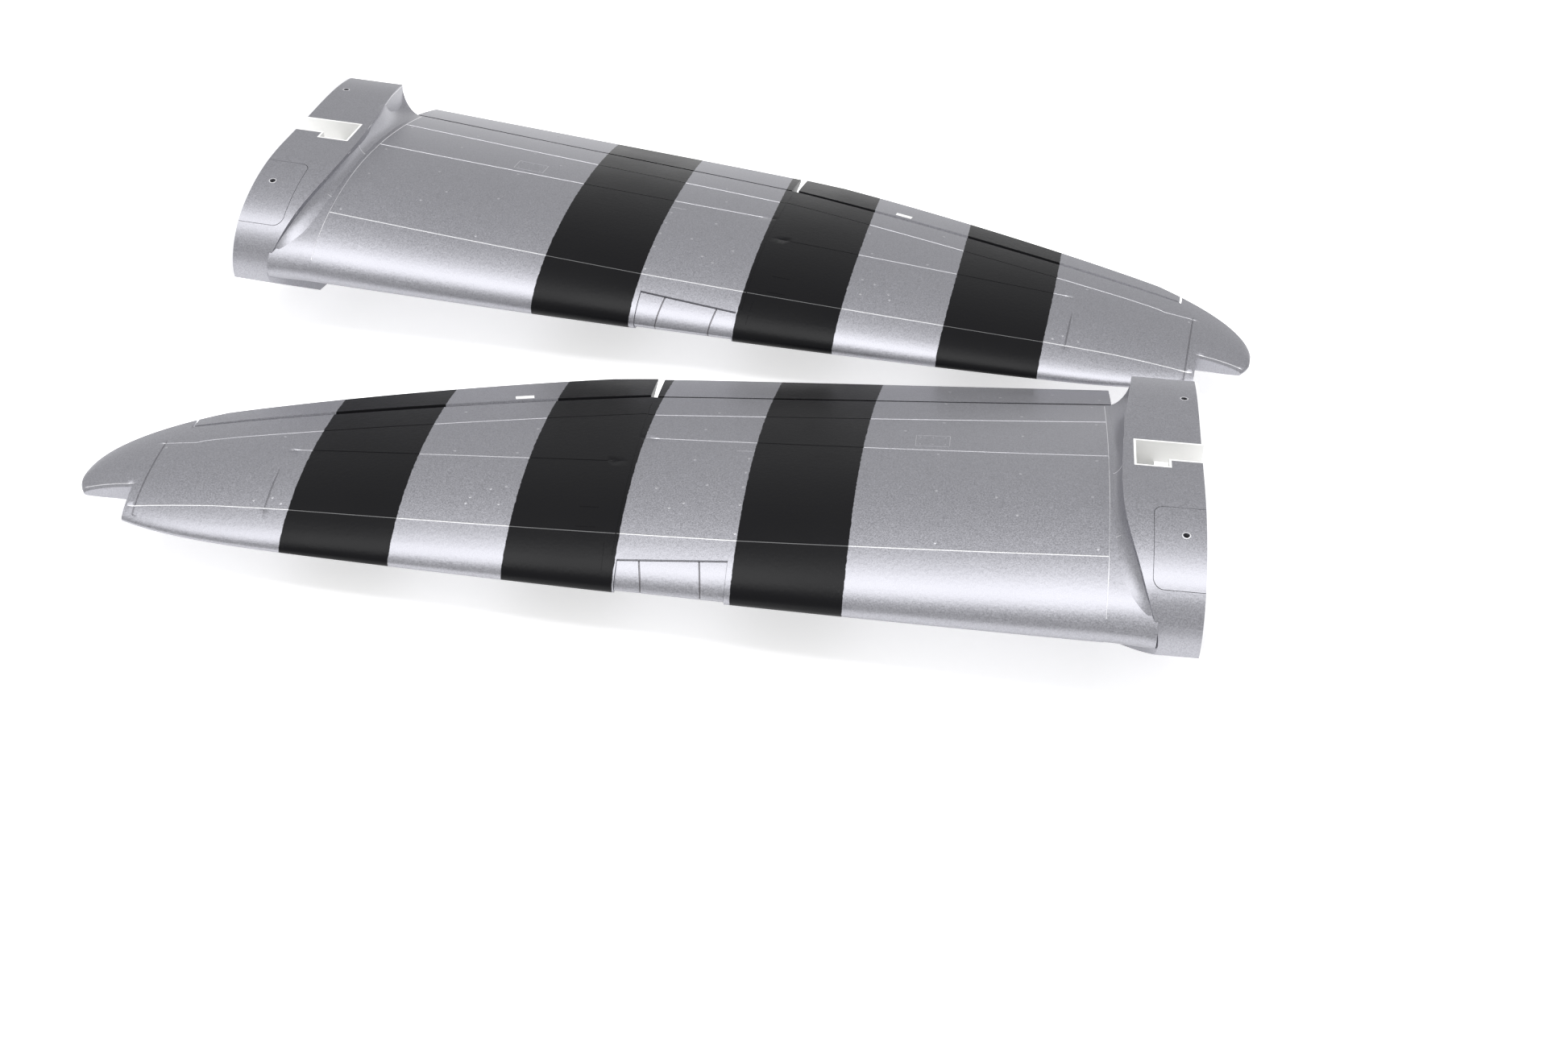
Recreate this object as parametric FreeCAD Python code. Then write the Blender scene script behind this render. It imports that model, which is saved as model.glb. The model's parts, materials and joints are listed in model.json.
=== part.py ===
import math
import os

import FreeCAD
import Part

V = FreeCAD.Vector

# A pair of moulded-foam wing panels for a model aeroplane of the 1.5 m class, laid side by side.
# Every panel is drawn once, in its own directions: "span" runs from the root face to the tip,
# "chord" from front to back and "up" above the bench.  The left panel is the mirror image.
# Lengths are in millimetres and angles in degrees.

# ---- overall sizes ------------------------------------------------------------------------------
SPAN = 750.0             # root face to wing tip
ROOT_CHORD = 308.0       # nose to trailing edge where the fillet ends
TIP_CHORD_AT = 93.0      # how far back the very tip lies
NOSE_AT_ROOT = -14.5     # chord station of the nose at the fillet
NOSE_SWEEP = 0.082       # nose moves back this much for each mm of span
TAIL_SWEEP = -0.10       # trailing edge moves forward this much for each mm of span
ROOT_THICKNESS = 0.16    # section thickness over chord, at the root and at the tip
TIP_THICKNESS = 0.10
ROOT_CAMBER = 0.050
TIP_CAMBER = 0.030
CAMBER_AT = 0.45         # where along the chord the camber is highest
NOSE_RISE = 29.0         # the root nose sits this much above the tip nose
TIP_HEIGHT = 5.2         # middle of the tip above the panel's own base line
TAIL_HEIGHT = 4.2        # middle of the trailing edge
TAIL_THICK = 1.5         # thickness of the trailing edge
STATIONS = [30.0, 57.0, 140.0, 227.0, 310.0, 400.0, 480.0, 560.0, 630.0, 690.0, 725.0, 742.0, 749.4]

# ---- root block ---------------------------------------------------------------------------------
FILLET_SPAN = 62.0       # the fillet meets the wing skin here
PANEL_START = 57.0       # inboard end of the flap
BLOCK_BACK = 250.0       # flat back of the root block
BASE = -12.0             # underside of the root block, which stands on the bench
BLOCK_REACH = 60.0       # the block is drawn this wide, then trimmed to its bowed plan
BLOCK_TAIL_UP = 12.0     # lower end of the block's flat back
BELLY_FRONT = 36.0       # the flat underside runs from here ...
BELLY_BACK = 224.0       # ... to here
SEAM_SINK = 0.3          # the fillet starts this far inside the block's side
FOOT_SINK = 0.6          # and ends this far under the wing skin
RIB_THICK = 2.0

# ---- spar socket --------------------------------------------------------------------------------
SPAR_CHORD = 94.0
SPAR_UP = 31.0
SPAR_BORE = 5.0          # radius
SPAR_WALL = 1.0
SPAR_LENGTH = 290.0

# ---- wing bolts ---------------------------------------------------------------------------------
BOLT_SPOTS = [(15.0, 44.5), (11.0, 215.0)]
BOLT_BORE = 2.1          # radius
SLEEVE_WALL = 1.9

# ---- wire tray ----------------------------------------------------------------------------------
TRAY_SPAN = 47.0
TRAY_FRONT = 118.5
TRAY_BACK = 153.0
TRAY_STEP_SPAN = 22.5
TRAY_STEP = 9.5
TRAY_FLOOR = 52.0
TRAY_WALL = 1.5
WELL_SPAN = 14.0
WELL_DEEP = 20.0

# ---- root hatch ---------------------------------------------------------------------------------
HATCH_SPAN = 35.0
HATCH_FRONT = 5.0
HATCH_BACK = 70.5
HATCH_THICK = 4.0
HATCH_CORNER = 7.0
HATCH_GAP = 0.3

# ---- nose insert and tip light seat -------------------------------------------------------------
INSERT_FROM = 303.0
INSERT_TO = 375.0
INSERT_BACK = 27.5       # chord station of the insert's back edge
INSERT_SET_IN = 1.0
LIGHT_FROM = 709.0
LIGHT_BACK = 78.0
LIGHT_EDGE = [(722.0, 78.0), (738.0, 77.0), (760.0, 75.5)]   # back edge of the light, (span, chord)
LIGHT_FRONT = 20.0
SEAT_THICK = 1.6

# ---- control surfaces ---------------------------------------------------------------------------
FLAP_END = 376.0
AILERON_START = 381.0
AILERON_END = 691.5
TIP_WALL = 693.0
FLAP_CHORD = (48.0, 40.923)       # hinge to trailing edge, at the flap's inboard and outboard ends
AILERON_CHORD = (40.23, 12.48)    # and at the aileron's
FLAP_TRIM = 2.0          # flap stops this far short of the aileron's trailing edge
HINGE_GAP = 1.0          # core stops this far ahead of a hinge axis
NOSE_GAP = 0.4           # surface starts this far behind a hinge axis
AILERON_BEVEL = 30.0
FLAP_BEVEL_UP = 4.0
FLAP_BEVEL_DOWN = 45.0
FLAP_AXIS_UP = 2.6       # flap axis above the lower skin

# ---- pinned hinges ------------------------------------------------------------------------------
HINGE_SPOTS_AILERON = [60.0, 160.0, 260.0]
HINGE_SPOTS_FLAP = [40.0, 150.0, 280.0]
LEAF_WIDE = 12.0
LEAF_LONG = 14.0
LEAF_THICK = 1.0
KNUCKLE = 1.8            # radius
NECK = 0.8               # a knuckle's web reaches this far past it
LEAF_START = 2.2         # a leaf starts this far from the axis
PIN = 0.6                # radius
PIN_FIT = 0.05
BARREL_WIDE = 3.6
KNUCKLE_WIDE = 2.8
KNUCKLE_GAP = 0.3

# ---- linkage ------------------------------------------------------------------------------------
ARM = 14.0               # servo arm and horn have the same length
ROD = 0.9                # pushrod radius
ROD_FIT = 0.05
ROD_FREE = 0.3           # clearance at the horn, where the linkage is opened
PLATE = 1.5
TIP_ROUND = 2.4          # radius of the arm's and the horn's tip
THROUGH = (-9.0, 9.0)    # reach of a hole's cutter through either plate
ROD_SIDE = 2.6           # pushrod runs this far beside the arm
ROD_END = -1.8           # its bent ends reach this far through the holes
AILERON_LINK_AT = 88.0   # along the aileron hinge, from its inboard end
FLAP_LINK_AT = 158.0
AILERON_ROD = 72.0
FLAP_ROD = 74.0
SERVO_LONG = 22.5
SERVO_DEEP = 11.8
SERVO_TALL = 22.5
SERVO_FACE = -3.0        # the servo's face, beside the arm
SERVO_EAR = 4.5
EAR_FROM = -11.0         # mounting ears, counted along the hinge line
EAR_THICK = 2.5
SHAFT = 2.4
SHAFT_OFFSET = 6.0
HUB = 3.6
BAY_ROOM = 0.5           # clearance round the servo
BAY_DEEP = 30.0          # the bay is cut this far down, through the lower skin
ARM_ROOM = 5.0           # and this far beside the arm
SERVO_CLEAR = 1.3        # from the cover to the servo case
COVER_THICK = 1.6
COVER_SPAN = (-30.0, 10.0)   # the cover's ends along the hinge line, counted from the arm
COVER_REACH = (-15.0, 26.0)  # and forward, counted from the servo shaft
SCREW_IN = 2.5           # cover screws stand this far inside its corners
BLISTER_WIDE = 15.0
BLISTER_SHIFT = 0.8      # towards the pushrod's side
BLISTER_SKIN = 1.6
SCREW_HEAD = 1.8
SCREW_SHANK = 0.8
SCREW_LONG = 8.0
HORN_BASE = (12.0, 16.0, 1.2)
HORN_FRONT = -3.0        # front end of the horn's base, behind the hinge axis
HORN_SINK = 0.4
HORN_BOLT = -8.0         # screws, behind the hinge axis
HORN_BACK = (13.0, 3.2)  # plate on the upper skin that the screws hold

# ---- how the two panels lie ---------------------------------------------------------------------
LEFT_YAW = -6.2
LEFT_PLACE = V(-708.0, 338.0, 0.0)

FAR = 400.0              # half the size of a cutting block
TALL = 100.0             # top of a cutting block that passes through the crown


# ---- shape of the panel -------------------------------------------------------------------------
def nose(span):
    """Chord station of the nose: a straight sweep that rounds into the tip."""
    line = NOSE_AT_ROOT + NOSE_SWEEP * (span - 55.0)
    start = 0.747 * SPAN
    share = max(0.0, (span - start) / (SPAN - start))
    return TIP_CHORD_AT - (TIP_CHORD_AT - line) * math.sqrt(max(0.0, 1.0 - share ** 4.2))


def tail(span):
    """Chord station of the trailing edge: straight inboard, then part of an ellipse."""
    line = NOSE_AT_ROOT + ROOT_CHORD + 5.0 + TAIL_SWEEP * (span - PANEL_START)
    start = 0.40 * SPAN
    share = max(0.0, (span - start) / (SPAN - start))
    return TIP_CHORD_AT + (line - TIP_CHORD_AT) * math.sqrt(max(0.0, 1.0 - share ** 2.42))


def hinge_ends(ends, chords):
    """A hinge line's two (span, chord) ends, each set ahead of the trailing edge there."""
    return [(span, tail(span) - chord) for span, chord in zip(ends, chords)]


FLAP_HINGE = hinge_ends((PANEL_START, FLAP_END), FLAP_CHORD)
AILERON_HINGE = hinge_ends((AILERON_START, AILERON_END), AILERON_CHORD)


def along(span):
    """Share of the way from the flap's inboard end to the tip."""
    return min(1.0, max(0.0, (span - PANEL_START) / (SPAN - PANEL_START)))


def nose_height(span):
    """Height of the nose: high at the root, falling to the tip."""
    return TIP_HEIGHT + NOSE_RISE * (1.0 - along(span)) ** 1.7


def heights(span, x, set_in=0.0):
    """Upper and lower skin height at a share x of the chord."""
    chord = tail(span) - nose(span)
    thick = ROOT_THICKNESS + (TIP_THICKNESS - ROOT_THICKNESS) * along(span)
    camber = ROOT_CAMBER + (TIP_CAMBER - ROOT_CAMBER) * along(span)
    half = 5.0 * thick * (0.2969 * math.sqrt(x) - 0.1260 * x - 0.3516 * x ** 2
                          + 0.2843 * x ** 3 - 0.1036 * x ** 4)
    if x < CAMBER_AT:
        line = camber / CAMBER_AT ** 2 * (2.0 * CAMBER_AT * x - x * x)
    else:
        rest = 1.0 - 2.0 * CAMBER_AT + 2.0 * CAMBER_AT * x - x * x
        line = camber / (1.0 - CAMBER_AT) ** 2 * rest
    middle = nose_height(span) + (TAIL_HEIGHT - nose_height(span)) * x + line * chord
    reach = max(0.0, half * chord - set_in) + TAIL_THICK / 2.0 * x
    return middle + reach, middle - reach


def skin(span, chord):
    """Upper and lower skin height at a chord station."""
    x = (chord - nose(span)) / (tail(span) - nose(span))
    return heights(span, min(1.0, max(0.0, x)))


def at(span, chord, up):
    """A point of the right-hand panel."""
    return V(-span, chord, up)


def section(span, set_in=0.0):
    """Closed outline of the wing section at one span station."""
    front = nose(span) + set_in
    back = tail(span)
    shares = [0.5 * (1.0 - math.cos(math.pi * i / 11.0)) for i in range(12)]
    upper = [at(span, front + (back - front) * x, heights(span, x, set_in)[0]) for x in reversed(shares)]
    lower = [at(span, front + (back - front) * x, heights(span, x, set_in)[1]) for x in shares[1:]]
    curve = Part.BSplineCurve()
    curve.interpolate(upper + lower)
    return Part.Wire([curve.toShape(), Part.LineSegment(lower[-1], upper[0]).toShape()])


def panel(stations, set_in=0.0):
    """A solid through the wing sections at these span stations."""
    return Part.makeLoft([section(s, set_in) for s in stations], True)


def prism(points, low=-FAR, high=FAR):
    """An upright prism over a plan outline given as (span, chord) points."""
    corners = [at(s, c, low) for s, c in points]
    face = Part.Face(Part.makePolygon(corners + corners[:1]))
    return face.extrude(V(0, 0, high - low))


def box(span, chord, up):
    """A box given by its (low, high) limits along span, chord and up."""
    size = (span[1] - span[0], chord[1] - chord[0], up[1] - up[0])
    return Part.makeBox(size[0], size[1], size[2], at(span[1], chord[0], up[0]))


def line_at(ends, span):
    """Chord station of a straight hinge line."""
    (s0, c0), (s1, c1) = ends
    return c0 + (c1 - c0) * (span - s0) / (s1 - s0)


# ---- root block and its fillet ------------------------------------------------------------------
BLOCK_TOP = [(-12.0, 22.0), (-13.4, 32.0), (-8.5, 47.0), (5.0, 61.0), (25.0, 70.0), (44.0, 74.2),
             (70.0, 76.0), (118.0, 72.0), (153.0, 68.0), (215.0, 60.5), (BLOCK_BACK, 51.7)]
BLOCK_SIDE = [(26.0, -16.0), (34.0, -6.0), (43.0, 17.0), (52.5, 57.0), (55.0, 100.0), (53.5, 150.0),
              (50.0, 200.0), (45.8, BLOCK_BACK)]


def spline(points):
    curve = Part.BSplineCurve()
    curve.interpolate(points)
    return curve


def block_top(chord):
    """Height of the block's crown at a chord station, found by halving the stretch that holds it."""
    curve = spline([V(0, c, h) for c, h in BLOCK_TOP])
    low, high = curve.parameter(V(0, *BLOCK_TOP[2])), curve.LastParameter
    for _ in range(40):
        middle = 0.5 * (low + high)
        if curve.value(middle).y < chord:
            low = middle
        else:
            high = middle
    return curve.value(low).z


def block_outline(drop=0.0):
    """Side outline of the root block, lowered by drop."""
    crown = [at(0, c, h - drop) for c, h in BLOCK_TOP]
    foot = [at(0, BLOCK_BACK, BLOCK_TAIL_UP), at(0, BELLY_BACK, BASE), at(0, BELLY_FRONT, BASE), crown[0]]
    edges = [spline(crown).toShape()]
    here = crown[-1]
    for point in foot:
        edges.append(Part.LineSegment(here, point).toShape())
        here = point
    return Part.Face(Part.Wire(edges))


def block_plan(low, high):
    """Upright prism over the block's bowed plan."""
    side = spline([at(s, c, low) for s, c in BLOCK_SIDE]).toShape()
    front, back = BLOCK_SIDE[0], BLOCK_SIDE[-1]
    spare = 20.0
    plan = [back, (back[0], back[1] + spare), (-spare, back[1] + spare), (-spare, front[1] - spare),
            (front[0], front[1] - spare), front]
    ends = [at(s, c, low) for s, c in plan]
    edges = [side]
    for a, b in zip(ends, ends[1:]):
        edges.append(Part.LineSegment(a, b).toShape())
    return Part.Face(Part.Wire(edges)).extrude(V(0, 0, high - low))


def side_span(chord):
    """Span station of the block's bowed side."""
    table = BLOCK_SIDE
    for (s0, c0), (s1, c1) in zip(table, table[1:]):
        if chord <= c1:
            return s0 + (s1 - s0) * (chord - c0) / (c1 - c0)
    return table[-1][0]


def fillet_section(chord, crown):
    """Concave quarter ellipse from the block's crown down to the wing skin."""
    inner = side_span(chord) - SEAM_SINK
    outer = FILLET_SPAN
    foot = skin(outer, max(chord, nose(outer) + 1.0))[0] - FOOT_SINK
    reach, fall = outer - inner, crown - foot
    turns = [math.radians(15.0 * i) for i in range(7)]
    curve = spline([at(outer - reach * math.cos(a), chord, crown - fall * math.sin(a)) for a in turns])
    low, root = foot - 10.0 * FOOT_SINK, inner - 4.0
    points = [at(outer, chord, foot), at(outer, chord, low), at(root, chord, low),
              at(root, chord, crown - FOOT_SINK), at(inner, chord, crown)]
    edges = [curve.toShape()]
    for a, b in zip(points, points[1:]):
        edges.append(Part.LineSegment(a, b).toShape())
    return Part.Wire(edges)


def block_side():
    """The block as a plain slab, before its outboard side is trimmed."""
    return block_outline().extrude(V(-BLOCK_REACH, 0, 0))


def root_block():
    """The trimmed block and the fairing that leads from its crown to the wing skin."""
    lump = block_side().common(block_plan(BASE - 5.0, TALL))
    wires = []
    for chord in (-6.0, 5.0, 25.0, 57.0, 100.0, 150.0, 200.0, BLOCK_BACK):
        wires.append(fillet_section(chord, block_top(chord) - 0.2))
    return lump, Part.makeLoft(wires, True)


# ---- directions of a hinge line -----------------------------------------------------------------
class Line:
    """A hinge line with its own directions: 1 towards the tip, 2 forward, 3 up."""

    def __init__(self, ends, up_of):
        (s0, c0), (s1, c1) = ends
        self.start = at(s0, c0, up_of(s0, c0))
        self.end = at(s1, c1, up_of(s1, c1))
        self.one = (self.end - self.start).normalize()
        self.two = V(0, 0, 1).cross(self.one).normalize() * -1.0
        self.three = self.one.cross(self.two).normalize()
        if self.three.z < 0:
            self.two = self.two * -1.0
            self.three = self.three * -1.0

    def point(self, a, b=0.0, c=0.0):
        return self.start + self.one * a + self.two * b + self.three * c

    def set(self, shape, a):
        """Move a shape drawn about the origin to station a of the line."""
        o, x, y, z = self.point(a), self.one, self.two, self.three
        matrix = FreeCAD.Matrix(x.x, y.x, z.x, o.x, x.y, y.y, z.y, o.y, x.z, y.z, z.z, o.z, 0, 0, 0, 1)
        moved = shape.copy()
        moved.Placement = FreeCAD.Placement(matrix)
        return moved


def middle_up(span, chord):
    upper, lower = skin(span, chord)
    return 0.5 * (upper + lower)


def low_up(span, chord):
    return skin(span, chord)[1] + FLAP_AXIS_UP


AILERON_LINE = Line(AILERON_HINGE, middle_up)
FLAP_LINE = Line(FLAP_HINGE, low_up)


def block(a, b, c):
    """A box in hinge-line directions, given by its (low, high) limits."""
    return Part.makeBox(a[1] - a[0], b[1] - b[0], c[1] - c[0], V(a[0], b[0], c[0]))


def rod(radius, a, b=0.0, c=0.0):
    """A round bar along direction 1, from a[0] to a[1], at (b, c)."""
    return Part.makeCylinder(radius, a[1] - a[0], V(a[0], b, c), V(1, 0, 0))


def side_shape(points, a):
    """A plate drawn by its (forward, up) outline, from a[0] to a[1] along direction 1."""
    corners = [V(a[0], b, c) for b, c in points]
    return Part.Face(Part.makePolygon(corners + corners[:1])).extrude(V(a[1] - a[0], 0, 0))


def skin_at(point):
    """Upper and lower skin height under a point of the panel."""
    return skin(-point.x, point.y)


# ---- hinges -------------------------------------------------------------------------------------
def hinge_leaf():
    """Half that stays in the wing: a plate with two knuckles round the axis."""
    half, width = BARREL_WIDE / 2.0 + KNUCKLE_GAP, KNUCKLE_WIDE
    flat = (-LEAF_THICK / 2, LEAF_THICK / 2)
    leaf = block((-LEAF_WIDE / 2, LEAF_WIDE / 2), (LEAF_START, LEAF_LONG), flat)
    for a in (-half - width, half):
        leaf = leaf.fuse(rod(KNUCKLE, (a, a + width)))
        leaf = leaf.fuse(block((a, a + width), (0, KNUCKLE + NECK), flat))
    return leaf.cut(rod(PIN, (-LEAF_LONG, LEAF_LONG))).removeSplitter()


def hinge_tongue():
    """Half that turns with the surface: a plate with one barrel."""
    half = BARREL_WIDE / 2.0
    flat = (-LEAF_THICK / 2, LEAF_THICK / 2)
    tongue = block((-LEAF_WIDE / 2, LEAF_WIDE / 2), (-LEAF_LONG, -LEAF_START), flat)
    tongue = tongue.fuse(rod(KNUCKLE, (-half, half)))
    tongue = tongue.fuse(block((-half, half), (-KNUCKLE - NECK, 0), flat))
    return tongue.cut(rod(PIN + PIN_FIT, (-LEAF_LONG, LEAF_LONG))).removeSplitter()


def hinge_pin():
    reach = BARREL_WIDE / 2.0 + KNUCKLE_GAP + KNUCKLE_WIDE
    return rod(PIN, (-reach, reach))


def hinge_notch(front):
    """Room for the knuckles, cut into the wing (front) or into the surface."""
    half = BARREL_WIDE / 2.0 + KNUCKLE_WIDE + 2.0 * KNUCKLE_GAP
    reach = KNUCKLE + NECK
    span = (0.0, reach) if front else (-reach, 0.0)
    return block((-half, half), span, (-reach - 0.6, reach - 0.2))


def hinge_set(line, spots):
    """All hinges of one line: leaves, tongues, pins and the two kinds of notch."""
    kinds = [hinge_leaf(), hinge_tongue(), hinge_pin(), hinge_notch(True), hinge_notch(False)]
    return [[line.set(kind, spot) for spot in spots] for kind in kinds]


# ---- linkage ------------------------------------------------------------------------------------
class Linkage:
    """Servo, arm, pushrod and horn of one surface, all drawn about one point of its hinge line."""

    def __init__(self, line, spot, rod_length, bolted):
        self.line, self.spot, self.length, self.bolted = line, spot, rod_length, bolted
        here = line.point(spot)
        servo = line.point(spot, rod_length)
        self.lift = skin_at(servo)[1] + COVER_THICK + SERVO_CLEAR + SERVO_DEEP / 2 - here.z
        self.low = skin_at(line.point(spot, HORN_BOLT))[1] - here.z
        self.high = skin_at(line.point(spot, HORN_BOLT))[0] - here.z

    def set(self, shape):
        return self.line.set(shape, self.spot)

    def servo(self):
        r, q, half = self.length, self.lift, SERVO_DEEP / 2
        back, front = r - SHAFT_OFFSET, r - SHAFT_OFFSET + SERVO_LONG
        deep = (q - half, q + half)
        case = block((SERVO_FACE - SERVO_TALL, SERVO_FACE), (back, front), deep)
        ears = block((EAR_FROM, EAR_FROM + EAR_THICK), (back - SERVO_EAR, front + SERVO_EAR), deep)
        shaft = rod(SHAFT, (-4.0, -1.0), r, q)
        return self.set(case.fuse([ears, shaft]).removeSplitter())

    def bay(self):
        r, q, half = self.length, self.lift, SERVO_DEEP / 2 + BAY_ROOM
        back = r - SHAFT_OFFSET - SERVO_EAR - BAY_ROOM
        front = r - SHAFT_OFFSET + SERVO_LONG + SERVO_EAR + BAY_ROOM
        wide = (SERVO_FACE - SERVO_TALL - BAY_ROOM, ARM_ROOM)
        return self.set(block(wide, (back, front), (-BAY_DEEP, q + half)))

    def arm(self):
        r, q = self.length, self.lift
        hub = rod(HUB, (-2.7, PLATE / 2), r, q).cut(rod(SHAFT + ROD_FIT, (-2.7, -0.8), r, q))
        flat = (-PLATE / 2, PLATE / 2)
        blade = block(flat, (r - TIP_ROUND, r + TIP_ROUND), (q - ARM, q - SHAFT - 0.6))
        tip = rod(TIP_ROUND, flat, r, q - ARM)
        whole = hub.fuse([blade, tip]).cut(rod(ROD + ROD_FIT, THROUGH, r, q - ARM))
        return self.set(whole.removeSplitter())

    def pushrod(self):
        r, q = self.length, self.lift
        one, two = V(ROD_SIDE, 0, -ARM), V(ROD_SIDE, r, q - ARM)
        bar = Part.makeCylinder(ROD, (two - one).Length, one, two - one)
        ends = [Part.makeSphere(ROD, one), Part.makeSphere(ROD, two)]
        reach = (ROD_END, ROD_SIDE)
        ends += [rod(ROD, reach, 0, -ARM), rod(ROD, reach, r, q - ARM)]
        return self.set(bar.fuse(ends).removeSplitter())

    def horn(self):
        wide, long, thick = HORN_BASE
        foot = self.low - HORN_SINK
        flat = (-PLATE / 2, PLATE / 2)
        base = block((-wide / 2, wide / 2), (HORN_FRONT - long, HORN_FRONT), (foot, foot + thick))
        edge = [(-4.5, self.low), (-16.0, self.low), (-2.2, -ARM - 1.0), (2.3, -ARM + 0.8)]
        web = side_shape(edge, flat)
        tip = rod(TIP_ROUND, flat, 0, -ARM)
        whole = base.fuse([web, tip]).cut(rod(ROD + ROD_FREE, THROUGH, 0, -ARM))
        return self.set(whole.removeSplitter())

    def horn_screws(self):
        reach = self.high - self.low + HORN_SINK
        foot = self.low - HORN_SINK
        return [self.set(Part.makeCylinder(SCREW_SHANK, reach, V(a, HORN_BOLT, foot), V(0, 0, 1)))
                for a in (-4.0, 4.0)]

    def horn_plate(self):
        half, wide = HORN_BACK[0] / 2, HORN_BACK[1] / 2
        flat = (self.high - 0.7, self.high + 0.5)
        return self.set(block((-half, half), (HORN_BOLT - wide, HORN_BOLT + wide), flat))

    def cover(self, full):
        """The cover and its plate alone: a patch of the lower skin with a blister over the servo arm."""
        r = self.length
        (a0, a1), (b0, b1) = COVER_SPAN, COVER_REACH
        corners = [self.line.point(self.spot + a, r + b) for a, b in ((a0, b0), (a1, b0), (a1, b1), (a0, b1))]
        region = prism([(-point.x, point.y) for point in corners])
        piece = full.common(region)
        raised = piece.copy()
        raised.translate(V(0, 0, COVER_THICK))
        plate = piece.cut(raised)
        low = self.lift - SERVO_DEEP / 2 - SERVO_CLEAR - COVER_THICK + 1.0
        floor = BASE - self.line.point(self.spot).z
        wide = (BLISTER_SHIFT - BLISTER_WIDE / 2, BLISTER_SHIFT + BLISTER_WIDE / 2)
        body = side_shape([(r - 13.0, low), (r - 12.0, floor - 1.0), (r + 12.0, floor - 1.0),
                           (r + 20.0, floor + 3.0), (r + 25.0, low)], wide)
        room = block((wide[0] + BLISTER_SKIN, wide[1] - BLISTER_SKIN), (r - 16.0, r + 15.0),
                     (floor + BLISTER_SKIN, low + 9.0))
        whole = plate.fuse(self.set(body)).cut(self.set(room))
        below = Part.makeBox(4 * FAR, 4 * FAR, TALL, V(-3 * FAR, -FAR, BASE - TALL))
        return whole.cut(below).removeSplitter(), plate

    def cover_screws(self):
        r = self.length
        made = []
        for a in (COVER_SPAN[0] + SCREW_IN, COVER_SPAN[1] - SCREW_IN):
            for b in (r + COVER_REACH[0] + SCREW_IN, r + COVER_REACH[1] - SCREW_IN):
                foot = self.line.point(self.spot + a, b)
                foot.z = skin_at(foot)[1]
                head = Part.makeCylinder(SCREW_HEAD, 1.3, foot - V(0, 0, 0.5), V(0, 0, 1))
                shank = Part.makeCylinder(SCREW_SHANK, SCREW_LONG, foot, V(0, 0, 1))
                made.append(head.fuse(shank).removeSplitter())
        return made


# ---- root fittings ------------------------------------------------------------------------------
def round_plan(grow):
    """Plan of the hatch, grown: two square corners at the root face and two round ones outboard."""
    s, c0, c1, r = HATCH_SPAN + grow, HATCH_FRONT - grow, HATCH_BACK + grow, HATCH_CORNER
    k = r * (1.0 - math.sqrt(0.5))
    plan = [(RIB_THICK, c0), (s - r, c0), (s - k, c0 + k), (s, c0 + r),
            (s, c1 - r), (s - k, c1 - k), (s - r, c1), (RIB_THICK, c1)]
    p = [at(a, b, 0.0) for a, b in plan]
    edges = [Part.LineSegment(p[0], p[1]), Part.Arc(p[1], p[2], p[3]), Part.LineSegment(p[3], p[4]),
             Part.Arc(p[4], p[5], p[6]), Part.LineSegment(p[6], p[7]), Part.LineSegment(p[7], p[0])]
    return Part.Face(Part.Wire([e.toShape() for e in edges])).extrude(V(0, 0, TALL))


def crown_layer(depth):
    """Skin-deep layer of the root block, under its crown."""
    return block_side().cut(block_outline(depth).extrude(V(-BLOCK_REACH, 0, 0)))


def tray_plan(inset, low, high):
    """Plan of the wire tray: wide outboard, narrow towards the root face."""
    s, c0, c1 = TRAY_SPAN - inset, TRAY_FRONT + inset, TRAY_BACK - inset
    step = TRAY_STEP_SPAN + inset
    mouth = -5.0 if inset else 0.0
    return prism([(mouth, c0 + TRAY_STEP), (step, c0 + TRAY_STEP), (step, c0), (s, c0), (s, c1), (mouth, c1)],
                 low, high)


def wire_tray(body):
    """White tray with a floor, walls and a deeper well at its outboard end."""
    wall, floor = TRAY_WALL, TRAY_FLOOR
    outer = tray_plan(0.0, floor - wall, TALL).common(body)
    well = box((TRAY_SPAN - WELL_SPAN - 2 * wall, TRAY_SPAN), (TRAY_FRONT, TRAY_BACK),
               (floor - WELL_DEEP - wall, floor))
    outer = outer.fuse(well)
    inner = tray_plan(wall, floor, TALL)
    hole = box((TRAY_SPAN - WELL_SPAN - wall, TRAY_SPAN - wall), (TRAY_FRONT + wall, TRAY_BACK - wall),
               (floor - WELL_DEEP, floor + wall))
    return outer.cut([inner, hole]).removeSplitter(), outer


def light_plan(inset):
    """Plan of the tip light's recess, or of the lens inside its seat."""
    edge = [(s, c - inset) for s, c in LIGHT_EDGE]
    first = LIGHT_FROM + inset
    return [(first, LIGHT_FRONT), (first, LIGHT_BACK - inset)] + edge + [(edge[-1][0], LIGHT_FRONT)]


# ---- one whole panel ----------------------------------------------------------------------------
def surface(full, line, ends, bevel_up, bevel_down, trim):
    """A control surface cut from the panel, with its nose bevelled about the hinge axis."""
    (s0, c0), (s1, c1) = ends
    front, deep = 12.0, 40.0
    plan = [(s0, c0 - front), (s1, c1 - front), (s1, tail(s1) - trim), (s0, tail(s0) - trim)]
    whole = full.common(prism(plan))
    up, down = deep * math.tan(math.radians(bevel_up)), deep * math.tan(math.radians(bevel_down))
    edge = [(-NOSE_GAP, 0.0), (-NOSE_GAP - up, deep), (deep, deep), (deep, -deep), (-NOSE_GAP - down, -deep)]
    wedge = side_shape(edge, (-deep, FAR))
    return whole.cut(line.set(wedge, 0.0))


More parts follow.
